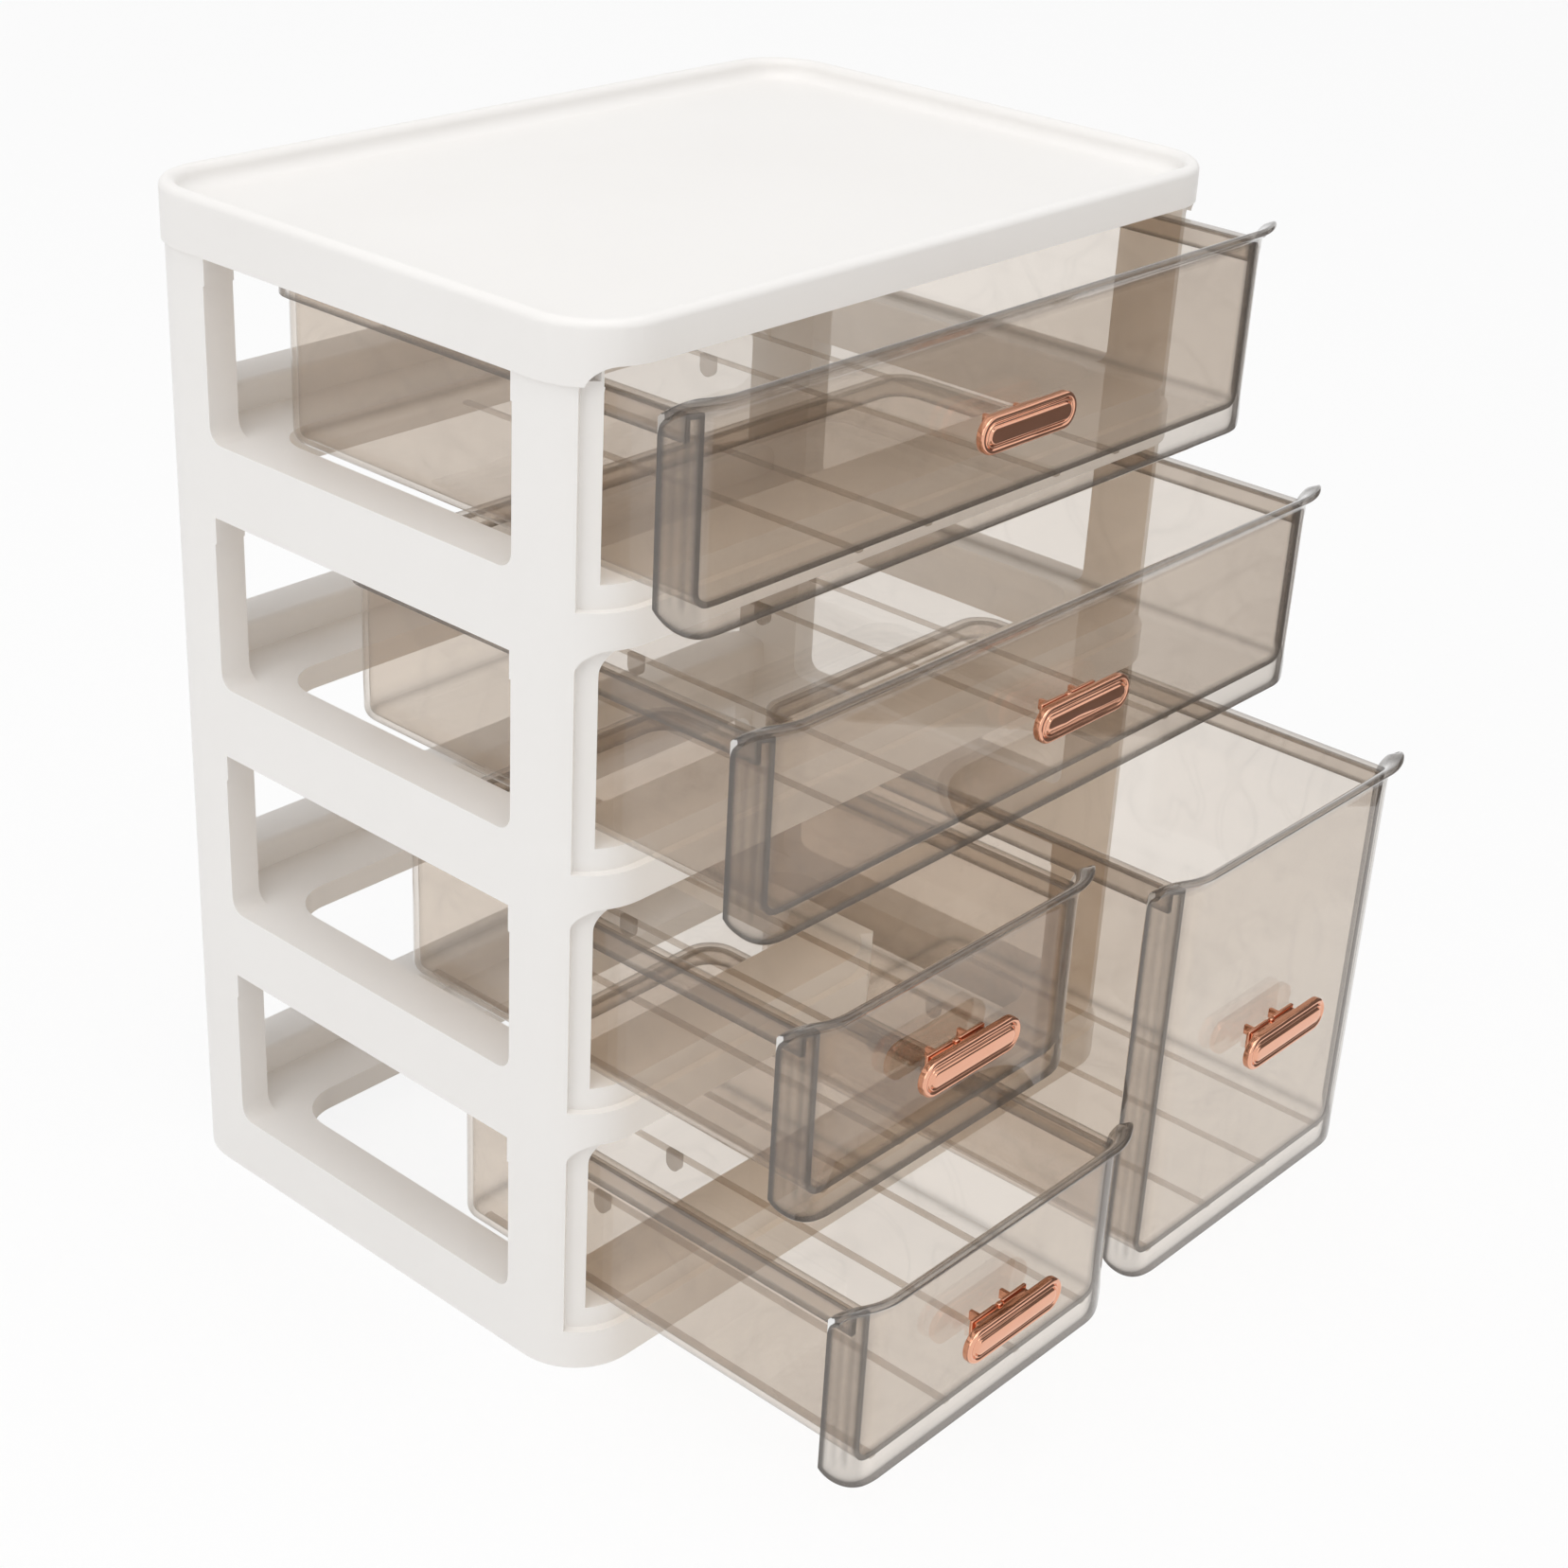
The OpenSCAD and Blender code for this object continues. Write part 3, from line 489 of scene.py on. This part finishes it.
# %% Frame mouldings
FRAME_NODES = ("base_frame", "split_shelf_frame", "middle_shelf_frame", "upper_shelf_frame",
               "top_tray")
EDGE_ROUND, TRAY_ROUND, EDGE_SEGMENTS = 0.6, 1.0, 2
SHARP, FLAT = math.radians(38), math.radians(0.5)


def whole_faces(node):
    """A copy of a measured solid whose triangles are merged into whole faces."""
    mesh = bmesh.new()
    mesh.from_mesh(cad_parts[node].data)
    mesh.verts.layers.float.new("rim")
    bmesh.ops.remove_doubles(mesh, verts=mesh.verts, dist=2e-5)
    bmesh.ops.dissolve_degenerate(mesh, edges=mesh.edges, dist=1e-5)
    bmesh.ops.dissolve_limit(mesh, angle_limit=FLAT, verts=mesh.verts, edges=mesh.edges,
                             use_dissolve_boundaries=False)
    return mesh


for node in FRAME_NODES:
    moulding = piece(node + "_moulding", whole_faces(node), frame_white, "frame", 30)
    soften = moulding.modifiers.new("soft_edges", "BEVEL")
    soften.width = (TRAY_ROUND if node == "top_tray" else EDGE_ROUND) * MM
    soften.segments = EDGE_SEGMENTS
    soften.limit_method = "ANGLE"
    soften.angle_limit = SHARP
    soften.harden_normals = True
    soften.use_clamp_overlap = True
    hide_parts(node)
    print(moulding.name, "faces:", len(moulding.data.polygons))

# %% [markdown]
# ## Tint towards the edges
# Clear plastic looks darkest where the eye looks along it: at its edges, in bends and where two
# walls join. True refraction would show that by itself, at a high price. Here each vertex gets a
# rim value instead, from 0 for plain wall to 1 for an edge, and rows of vertices stand close
# together near the edges so that the tint can fade quickly.

# %% Sizes, tints and painted shade shared by the drawers
ARC_X, ARC_Y, CORNER_R = 117.5, 73.0, 22.0
ARC_REACH = 17.51
PLATE_X = ARC_X + ARC_REACH
PLATE_SWEEP = math.degrees(math.asin(ARC_REACH / CORNER_R))
PLATE_T, PLATE_UP, PLATE_DOWN = 2.2, 60.5, 6.5
FRONT_Y = -ARC_Y - CORNER_R
MIDDLE_X = 1.8
FLOOR_Z, TIER_PITCH = 20.5, 79.0

EDGE_WIDTH, EDGE_FADE = 0.95, 0.75
FOOT_SHADE, FOOT_TOP, FOOT_FADE = 0.07, 11, 4
STRIPS = (0.5, 1.0, 1.8, 2.9, 4.4, 6.4, 8.9, 11.9, 15.5)
LEVEL_STEP = 8


def z_levels(low, high):
    """Heights from low to high, closer together near both ends."""
    inner = [low + strip for strip in STRIPS[1:]]
    outer = [high - strip for strip in reversed(STRIPS)]
    gap = outer[0] - inner[-1]
    count = max(1, round(gap / LEVEL_STEP))
    return inner + [inner[-1] + gap * k / count for k in range(1, count)] + outer


def edge_tint(distance):
    """Rim value at a distance from a sheet's edge: dark at the edge, gone in 3 mm."""
    return 1.0 if distance < EDGE_WIDTH else math.exp((EDGE_WIDTH - distance) / EDGE_FADE)


def foot_shade(height):
    """Painted shade in the strip of a front that hangs below its drawer's floor: a little more tint
    there.
    """
    return FOOT_SHADE * fade((FOOT_TOP - height) / FOOT_FADE)


print("plate ends turn through", round(PLATE_SWEEP, 1), "degrees")

# %% [markdown]
# ## Drawer fronts
# Each front is one plate whose ends curve back round the frame's corners. Its upper edge flares
# forwards into a lip that a finger can pull. Bending a flat plate with a modifier would stretch
# the lip, so its section is drawn once, up the face, round the lip's nose and down the back, and
# then swept: round the left corner, straight across, round the right corner.

# %% Section of a front
NOSE_R, FLARE_R, FLARE_SWEEP, FLARE_STEPS = PLATE_T / 2, 5.2, 68.0, 9
LOW_CHAMFER, FOOT_EDGE = 0.5, 0.4
NOSE_STEPS, NOSE_MIDDLE, ARC_STEPS = 6, 3, 22


def lip_tint(part):
    """Rim value along the flare, from 0 at its foot to 1 at the lip's nose."""
    return 0.1 + 0.68 * part ** 1.3


def nose_rim_and_highlight(k):
    """Rim value round the lip's nose, with a painted highlight: paler in its middle, where it
    catches the light.
    """
    return 0.36 + 0.56 * abs(k - NOSE_MIDDLE) / NOSE_MIDDLE


def front_section(low, high):
    """Radius, height and rim value round the plate's section, starting at its lower front edge."""
    middle_r, flare_end = FLARE_R + NOSE_R, 180 - FLARE_SWEEP
    centre = (CORNER_R + FLARE_R,
              high - NOSE_R - middle_r * math.sin(math.radians(FLARE_SWEEP)))
    nose = (centre[0] + middle_r * math.cos(math.radians(flare_end)),
            centre[1] + middle_r * math.sin(math.radians(flare_end)))
    levels = z_levels(low, centre[1])
    back_r = CORNER_R - PLATE_T
    section = [(CORNER_R - LOW_CHAMFER, low, 1.0), (CORNER_R, low + LOW_CHAMFER, 1.0)]
    # Front face: edge darkening at the foot, plus painted shade in the strip below the floor.
    section += [(CORNER_R, z, edge_tint(z - low + FOOT_EDGE) + foot_shade(z - low))
                for z in levels]
    section += [(r, z, lip_tint(k / FLARE_STEPS)) for k, (r, z) in enumerate(
        arc(centre, FLARE_R, 180, flare_end, FLARE_STEPS))]
    # Round the lip's nose: dark at both sides, with a painted highlight in its middle.
    section += [(r, z, nose_rim_and_highlight(k)) for k, (r, z) in enumerate(
        arc(nose, NOSE_R, -FLARE_SWEEP - 30, flare_end - 20, NOSE_STEPS))]
    section += [(r, z, lip_tint(1 - k / FLARE_STEPS)) for k, (r, z) in enumerate(
        arc(centre, FLARE_R + PLATE_T, flare_end, 180, FLARE_STEPS))]
    section += [(back_r, z, edge_tint(z - low + FOOT_EDGE)) for z in reversed(levels)]
    section += [(back_r, low + LOW_CHAMFER, 1.0), (back_r + LOW_CHAMFER, low, 1.0)]
    return section


def sweep_plate(mesh, c0, c1, section):
    """Sweeps the section round the left arc, straight across and round the right arc."""
    turned = math.radians(PLATE_SWEEP)
    start = chain(mesh, [
        (c0 - r * math.sin(turned), -ARC_Y - r * math.cos(turned), z, rim)
        for r, z, rim in section], closed=True)
    end = turn(mesh, start, (c0, -ARC_Y), PLATE_SWEEP, ARC_STEPS)
    end = run(mesh, end, (c1 - c0, 0, 0))
    end = turn(mesh, end, (c1, -ARC_Y), PLATE_SWEEP, ARC_STEPS)
    for ring in (start, end):
        bmesh.ops.holes_fill(mesh, edges=edges_of(ring), sides=0)


print("points in a front's section:", len(front_section(0, PLATE_DOWN + PLATE_UP)))

# %% [markdown]
# ## Flutes and rounded corners
# A shallow upright flute runs down each curved end, and the plate's corners are rounded when seen
# from the front. Cutting them with booleans would leave ragged triangles in the thin sheet. The
# swept vertices are moved instead: in towards the arc's centre for the flute, up at the lower
# corners and down at the upper ones. The lip would flare past the plate's ends and touch its
# neighbours, so it is cut off there in line with them. The lip's foot goes into a recess of the
# frame when the drawer closes, so near the ends that part follows the recess's rounded corner.

# %% Shape of a front
FLUTE_ANGLE, FLUTE_HALF, FLUTE_DEPTH = math.radians(32), math.radians(9.5), 0.9
FLUTE_FOOT, FLUTE_HEAD, FLUTE_TAPER = 5, 9, 4
CREASE_HALF, CREASE_SHADE, BORDER_SHADE = math.radians(2.6), 0.34, 0.16
BEND_START, BEND_FADE, BEND_TINT = math.radians(12), math.radians(8), 0.17
OUTER_SKIN = 0.3
LOW_CORNER_R, TOP_CORNER_R, CORNER_OVER = 13.0, 7.0, 0.6
LOW_CORNER_REACH, TOP_CORNER_REACH, TOP_CORNER_FADE = 30, 30, 18
IN_RECESS_R, LIP_FREE_R = 24.2, 25.6
FAR_FROM_END = 99.0


def corner_drop(inset, radius):
    """How far a rounded corner has left its straight edge, inset from the plate's end."""
    inset += CORNER_OVER
    return 0.0 if inset >= radius else radius - math.sqrt(radius ** 2 - (radius - inset) ** 2)


def curved_end(radius, angle, z, low, high, rim):
    """Radius and rim value of a point on a curved end, once the flute is pressed in and painted
    shade is laid along it.
    """
    off_middle = abs(angle - FLUTE_ANGLE)
    along = min(fade((z - low - FLUTE_FOOT) / FLUTE_TAPER),
                fade((high - FLUTE_HEAD - z) / FLUTE_TAPER))
    if radius > CORNER_R - OUTER_SKIN:
        radius -= FLUTE_DEPTH * fade(1 - (off_middle / FLUTE_HALF) ** 2) * along
    # Painted shade in the flute: a dark line down its deepest middle and fainter lines along its
    # borders.
    crease = CREASE_SHADE * fade(1 - off_middle / CREASE_HALF)
    border = BORDER_SHADE * fade(1 - abs(off_middle - FLUTE_HALF) / CREASE_HALF)
    bend = BEND_TINT * fade((angle - BEND_START) / BEND_FADE)
    from_end = CORNER_R * (math.radians(PLATE_SWEEP) - angle)
    return radius, max(rim + bend, bend + (crease + border) * along, edge_tint(from_end))


def corner_shift(radius, z, inset, from_side, low, high):
    """How far a point moves up at a lower corner, or down at an upper one."""
    lift = corner_drop(inset, LOW_CORNER_R) * fade(1 - (z - low) / LOW_CORNER_REACH)
    drop = corner_drop(inset, TOP_CORNER_R)
    in_recess = fade((LIP_FREE_R - radius) / (LIP_FREE_R - IN_RECESS_R))
    drop += in_recess * max(0.0, corner_drop(min(inset, from_side), TOP_CORNER_R) - drop)
    return lift - drop * fade((z - high + TOP_CORNER_REACH) / TOP_CORNER_FADE)


def drawer_front(mesh, x0, x1, low, high, pull):
    """Sweeps the plate, then presses the flutes and rounds the corners."""
    c0, c1 = x0 + ARC_REACH, x1 - ARC_REACH
    layer = mesh.verts.layers.float["rim"]
    sweep_plate(mesh, c0, c1, front_section(low, high))
    for vert in mesh.verts:
        x, y, z = (c / MM for c in vert.co)
        centre = c0 if x < c0 else c1 if x > c1 else x
        radius = math.hypot(x - centre, y + ARC_Y)
        angle = math.atan2(abs(x - centre), -(y + ARC_Y))
        inset = FAR_FROM_END
        if x != centre:
            inset = CORNER_R * (math.sin(math.radians(PLATE_SWEEP)) - math.sin(angle))
            radius, vert[layer] = curved_end(radius, angle, z, low, high, vert[layer])
            side = -1 if x < centre else 1
            x = centre + side * radius * math.sin(angle)
        x = min(max(x, x0), x1)
        z += corner_shift(radius, z, inset, min(x - x0, x1 - x), low, high)
        vert.co = Vector((x, -ARC_Y - radius * math.cos(angle) - pull, z)) * MM


print("flutes, degrees wide:", round(math.degrees(2 * FLUTE_HALF), 1))

# %% [markdown]
# ## Drawer bodies
# Behind its front a drawer is a thin tub: a floor, three walls with a soft bottom edge and round
# rear corners, and a rim that turns over outwards and hangs down. A box with an inner box taken
# away would give the walls, but not the rolled rim. So only the tub's inner skin is drawn, from
# the floor up the wall and over the rim. It is swept along one side, round the rear and back
# along the other side, and a Solidify modifier then gives the sheet its thickness.

# %% Section of a tub
WALL, SHEET, RIM_W, RIM_H, BODY_R, BOTTOM_R = 2.0, 1.75, 4.6, 8.0, 11.0, 5.0
BODY_H, BODY_REAR, BODY_INSET = 55.0, 77.0, 6.51
SLIDE_GAP, RUNNER_H, RUNNER_W = 0.3, 0.8, 2.5
RIM_ROUND, BOTTOM_STEPS, REAR_STEPS = 0.7, 6, 10
BOTTOM_TINTS = (0.04, 0.08, 0.2, 0.34, 0.2, 0.08, 0.04)


def tub_skin(low, high):
    """Distance out from the rear corner's centre, height and rim value, from the floor outwards."""
    wall_r = BODY_R - RIM_W
    inner_r = BOTTOM_R - WALL
    rim_z = high - RIM_ROUND
    skin = [(0.0, low, 0.0)]
    skin += [(r, z, tint) for (r, z), tint in zip(
        arc((wall_r - inner_r, low + inner_r), inner_r, -90, 0, BOTTOM_STEPS), BOTTOM_TINTS)]
    skin += [(wall_r, low + 6, 0.0), (wall_r, high - 8, 0.0), (wall_r, high - 2, 0.06)]
    skin += [(r, z, 0.3) for r, z in arc((wall_r + RIM_ROUND, rim_z), RIM_ROUND, 180, 90, 3)]
    skin += [(wall_r + 1.6, high, 0.1), (BODY_R - 1.6, high, 0.1)]
    skin += [(r, z, 0.4) for r, z in arc((BODY_R - RIM_ROUND, rim_z), RIM_ROUND, 90, 0, 3)]
    skin += [(BODY_R, high - 2.2, 0.1), (BODY_R, high - RIM_H + 1.2, 0.1)]
    skin += [(BODY_R, high - RIM_H + 0.4, 0.55), (BODY_R, high - RIM_H, 0.7)]
    return skin


print("tub walls:", WALL, "mm")

# %% [markdown]
# ## Sweeping the tub
# The sweep leaves the floor open down its middle, so two rows of its vertices are joined by faces.
# In front the walls and the floor end on the curved plate: each row there is moved back until it
# follows the plate's rear face. Two more rows close behind carry the dark line that a joint
# between clear walls shows.

# %% Tub
JOINT_STRIPS, JOINT_EDGE = (0.8, 2.6), 0.5
SUNK, NEAR = 0.2, 0.01


def plate_back(x, c0, c1):
    """Y of the plate's rear face at x on a closed drawer, sunk a little into the plate."""
    radius = CORNER_R - PLATE_T + SUNK
    off = max(c0 - x, x - c1, 0.0)
    return -ARC_Y - math.sqrt(max(radius ** 2 - off ** 2, 0.0))


def close_floor(mesh, left_x, right_x, low, stations):
    """Joins the sweep's two inner edges on the floor, from station to station."""
    rows = [[v for v in mesh.verts if abs(v.co.z / MM - low) < NEAR
             and min(abs(v.co.x / MM - left_x), abs(v.co.x / MM - right_x)) < NEAR
             and abs(v.co.y / MM - station) < NEAR] for station in stations]
    for near, far in zip(rows, rows[1:]):
        bmesh.ops.contextual_create(mesh, geom=near + far)


def drawer_tub(mesh, x0, x1, low, high, pull):
    """Sweeps the tub's inner skin, closes its floor and follows the plate's curve in front."""
    c0, c1 = x0 + ARC_REACH, x1 - ARC_REACH
    left_x = x0 + BODY_INSET + BODY_R
    right_x = x1 - BODY_INSET - BODY_R
    rear = BODY_REAR - BODY_R
    stations = (FRONT_Y, FRONT_Y + JOINT_STRIPS[0], FRONT_Y + JOINT_STRIPS[1], rear)
    steps = [far - near for near, far in zip(stations, stations[1:])]
    end = chain(mesh, [(left_x - r, FRONT_Y, z, rim) for r, z, rim in tub_skin(low, high)])
    for step in steps:
        end = run(mesh, end, (0, step, 0))
    end = turn(mesh, end, (left_x, rear), -90, REAR_STEPS)
    end = run(mesh, end, (right_x - left_x, 0, 0))
    end = turn(mesh, end, (right_x, rear), -90, REAR_STEPS)
    for step in reversed(steps):
        end = run(mesh, end, (0, -step, 0))
    bmesh.ops.remove_doubles(mesh, verts=mesh.verts, dist=1e-6)
    close_floor(mesh, left_x, right_x, low, stations)
    layer = mesh.verts.layers.float["rim"]
    for vert in mesh.verts:
        x, y, z = (c / MM for c in vert.co)
        behind = y - FRONT_Y
        if behind < JOINT_STRIPS[1] + NEAR:
            y = plate_back(x, c0, c1) + behind
            vert[layer] = max(vert[layer], edge_tint(behind + JOINT_EDGE))
        vert.co = Vector((x, y - pull, z)) * MM


print("a tub's rear face is closed at y =", BODY_REAR)

# %% [markdown]
# ## Ribs and stopper tabs
# Four low ribs run front to back under each floor and carry the drawer on its shelf. Two rounded
# tabs hang further down behind them. They meet the shelf's edge when the drawer is fully out.
# A rib is a cube that is scaled and bevelled. A tab is easier to draw as an outline with a round
# lower end, which is then pushed sideways to its thickness.


# %% Ribs and tabs
RIB_TINT, TAB_TINT, TAB_STEPS = 0.14, 0.35, 10


def soft_box(mesh, centre, size, soften, segments):
    """A box with bevelled edges; hands back the vertices of the bevels."""
    shape = Matrix.Translation(Vector(centre) * MM) @ Matrix.Diagonal(
        (size[0] * MM, size[1] * MM, size[2] * MM, 1))
    cube = bmesh.ops.create_cube(mesh, size=1, matrix=shape)["verts"]
    edges = list({line for vert in cube for line in vert.link_edges})
    return bmesh.ops.bevel(mesh, geom=edges, offset=soften * MM, segments=segments,
                           affect="EDGES", profile=0.5, material=-1)["verts"]


def rib(mesh, x, y0, y1, z0, z1):
    """A runner under the floor, from y0 to y1 and z0 to z1, centred on x."""
    layer = mesh.verts.layers.float["rim"]
    centre = (x, (y0 + y1) / 2, (z0 + z1) / 2)
    for vert in soft_box(mesh, centre, (RUNNER_W, y1 - y0, z1 - z0), 0.35, 2):
        vert[layer] = RIB_TINT


def tab(mesh, x, y, top, depth, thick, height):
    """A tongue that hangs down, round at its lower end."""
    layer = mesh.verts.layers.float["rim"]
    r = depth / 2
    low = top - height + r
    outline = [(y + depth, top), (y + depth, low)]
    outline += [(y + r + a, low + b) for a, b in arc((0, 0), r, 0, -180, TAB_STEPS)][1:]
    outline += [(y, top)]
    verts = [mesh.verts.new(Vector((x - thick / 2, py, pz)) * MM) for py, pz in outline]
    face = mesh.faces.new(verts)
    far = verts_of(bmesh.ops.extrude_face_region(mesh, geom=[face])["geom"])
    bmesh.ops.translate(mesh, verts=far, vec=(thick * MM, 0, 0))
    for vert in verts + far:
        vert[layer] = TAB_TINT


print("ribs and tabs ready")

# %% [markdown]
# ## The five drawers
# Two drawers fill the frame's width. Below them two small ones stand on the left and a tall one,
# two tiers high, on the right. Each drawer gets three pieces: its front, its tub, and the ribs
# and tabs. They stand where the measured drawer stands, which they replace, and ride on its
# sliding body. A table gives each drawer its plate's ends, its lowest tier, how many tiers it
# fills and how far it stands open, so that one loop can make all five.

# %% Drawers
SMALL_MIDDLE = (-MIDDLE_X - PLATE_X) / 2
SMALL_PITCH = (PLATE_X - MIDDLE_X) / 4
WIDE_RIBS, WIDE_TABS = (-60, -30, 30, 60), (-30, 30)
SMALL_RIBS = tuple(SMALL_MIDDLE + k * SMALL_PITCH for k in (-1.5, -0.5, 0.5, 1.5))
SMALL_TABS = SMALL_RIBS[1:3]
TALL_RIBS, TALL_TABS = tuple(-x for x in SMALL_RIBS), tuple(-x for x in SMALL_TABS)
DRAWERS = {
    "top_drawer": (-PLATE_X, PLATE_X, 3, 1, 27, WIDE_RIBS, WIDE_TABS),
    "middle_drawer": (-PLATE_X, PLATE_X, 2, 1, 56, WIDE_RIBS, WIDE_TABS),
    "small_upper_drawer": (-PLATE_X, -MIDDLE_X, 1, 1, 77, SMALL_RIBS, SMALL_TABS),
    "small_lower_drawer": (-PLATE_X, -MIDDLE_X, 0, 1, 101, SMALL_RIBS, SMALL_TABS),
    "tall_drawer": (MIDDLE_X, PLATE_X, 0, 2, 100, TALL_RIBS, TALL_TABS),
}
TAB_Y, TAB_D, TAB_T, TAB_H = 46.4, 6.0, 2.0, 7.2
RIB_REAR, ROOTED = BODY_REAR - 9.6, 0.1

for node, (x0, x1, tier, tiers, pull, ribs, tabs) in DRAWERS.items():
    shelf = FLOOR_Z + tier * TIER_PITCH
    top = shelf + (tiers - 1) * TIER_PITCH
    mesh = new_mesh()
    drawer_front(mesh, x0, x1, shelf - PLATE_DOWN, top + PLATE_UP, pull)
    front = piece(node + "_front", mesh, smoke_clear, node)

    mesh = new_mesh()
    floor_top = shelf + SLIDE_GAP + RUNNER_H + WALL
    drawer_tub(mesh, x0, x1, floor_top, top + BODY_H, pull)
    tub = piece(node + "_tub", mesh, smoke_clear, node)
    walls = tub.modifiers.new("sheet", "SOLIDIFY")
    walls.thickness = SHEET * MM
    walls.offset = -1
    walls.use_even_offset = True

    mesh = new_mesh()
    root = floor_top - SHEET + ROOTED
    for x in ribs:
        rib(mesh, x, FRONT_Y + PLATE_T - pull, RIB_REAR - pull, shelf + SLIDE_GAP, root)
    for x in tabs:
        tab(mesh, x, TAB_Y - pull, root, TAB_D, TAB_T, TAB_H)
    feet = piece(node + "_ribs", mesh, smoke_clear, node)
    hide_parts(node)
    print(node, "pieces:", front.name, tub.name, feet.name)

# %% [markdown]
# ## Pulls
# A pull is a flat rounded bar with a rolled edge, a groove and a raised pad on its face. It stands
# off the front on a broad stem with a snap foot. A bevelled box would give a bar with square
# steps, so the bar's half section is drawn from its middle line outwards and spun half a turn
# round each end, with straight stretches between. The stem and foot are small bevelled blocks.

# %% Bar of a pull
BAR_L, BAR_H, BAR_REACH = 44.0, 11.5, 5.0
BAR_STEPS = 20


def stadium(mesh, section, half_length, place):
    """Spins a half section round both ends of a bar and closes it with straight stretches."""
    verts = [mesh.verts.new(Vector((half_length, -depth, r)) * MM) for r, depth in section]
    end = verts + [mesh.edges.new(pair) for pair in zip(verts, verts[1:])]
    for side in (1, -1):
        end = bmesh.ops.spin(
            mesh, geom=end, cent=(side * half_length * MM, 0, 0), axis=(0, 1, 0),
            angle=math.pi, steps=BAR_STEPS, use_merge=False)["geom_last"]
        end = run(mesh, end, (-2 * side * half_length, 0, 0))
    bmesh.ops.remove_doubles(mesh, verts=mesh.verts, dist=2e-6)
    bmesh.ops.translate(mesh, verts=mesh.verts, vec=Vector(place) * MM)


def bar_section():
    """Half section of the bar: distance from its middle line and depth from the plate's face."""
    section = [(0, 0), (5.0, 0)]
    # side wall and the rolled shoulder of the edge
    section += arc((5.2, 0.55), 0.55, -90, 0, 4)
    section += arc((4.85, 1.9), 0.9, 0, 90, 6)
    # groove, and the narrow ring inside it
    section += [(4.35, 2.74), (4.15, 2.45), (3.95, 2.3), (3.75, 2.4)]
    section += arc((3.35, 2.55), 0.3, 20, 110, 4)
    # second groove and the raised pad
    section += [(3.0, 2.6), (2.85, 2.42), (2.7, 2.5), (2.5, 2.95), (2.3, 3.18), (2.0, 3.26)]
    section += [(1.0, 3.3), (0, 3.31)]
    return [(r, depth + BAR_REACH) for r, depth in section]


print("points in a bar's half section:", len(bar_section()))

# %% Pulls
STEM_W, STEM_H, BLOCK_SEGMENTS = 26.0, 4.6, 3
HANDLE_Z, TALL_HANDLE_Z = 26.5, 64.0
HANDLES = {
    "top_drawer_handle": ("top_drawer", 0.0, 3, HANDLE_Z),
    "middle_drawer_handle": ("middle_drawer", 0.0, 2, HANDLE_Z),
    "small_upper_handle": ("small_upper_drawer", SMALL_MIDDLE, 1, HANDLE_Z),
    "small_lower_handle": ("small_lower_drawer", SMALL_MIDDLE, 0, HANDLE_Z),
    "tall_drawer_handle": ("tall_drawer", -SMALL_MIDDLE, 0, TALL_HANDLE_Z),
}


def stem_and_foot(mesh, x, y, z):
    """Blocks between the bar and the plate: stem, two shoulders, two prongs and the catch."""
    blocks = [((x, y - BAR_REACH / 2, z), (STEM_W - 2.4, BAR_REACH + 0.4, STEM_H), 0.3)]
    for side in (-1, 1):
        blocks += [((x + side * 7.2, y - 0.75, z), (11.2, 1.3, STEM_H + 1.6), 0.4),
                   ((x + side * 7.1, y + 1.7, z), (1.4, 4.4, 3.3), 0.25)]
    blocks += [((x, y - 1.1, z + 1.9), (2.0, 2.0, 2.6), 0.6)]
    for centre, size, soften in blocks:
        soft_box(mesh, centre, size, soften, BLOCK_SEGMENTS)


for node, (drawer, x, tier, height) in HANDLES.items():
    pull = DRAWERS[drawer][4]
    y, z = FRONT_Y - pull, FLOOR_Z + tier * TIER_PITCH + height
    mesh = new_mesh()
    stadium(mesh, bar_section(), (BAR_L - BAR_H) / 2, (x, y, z))
    stem_and_foot(mesh, x, y, z)
    pull_piece = piece(node + "_pull", mesh, rose_gold, drawer, 50)
    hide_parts(node)
print("pulls:", list(HANDLES))
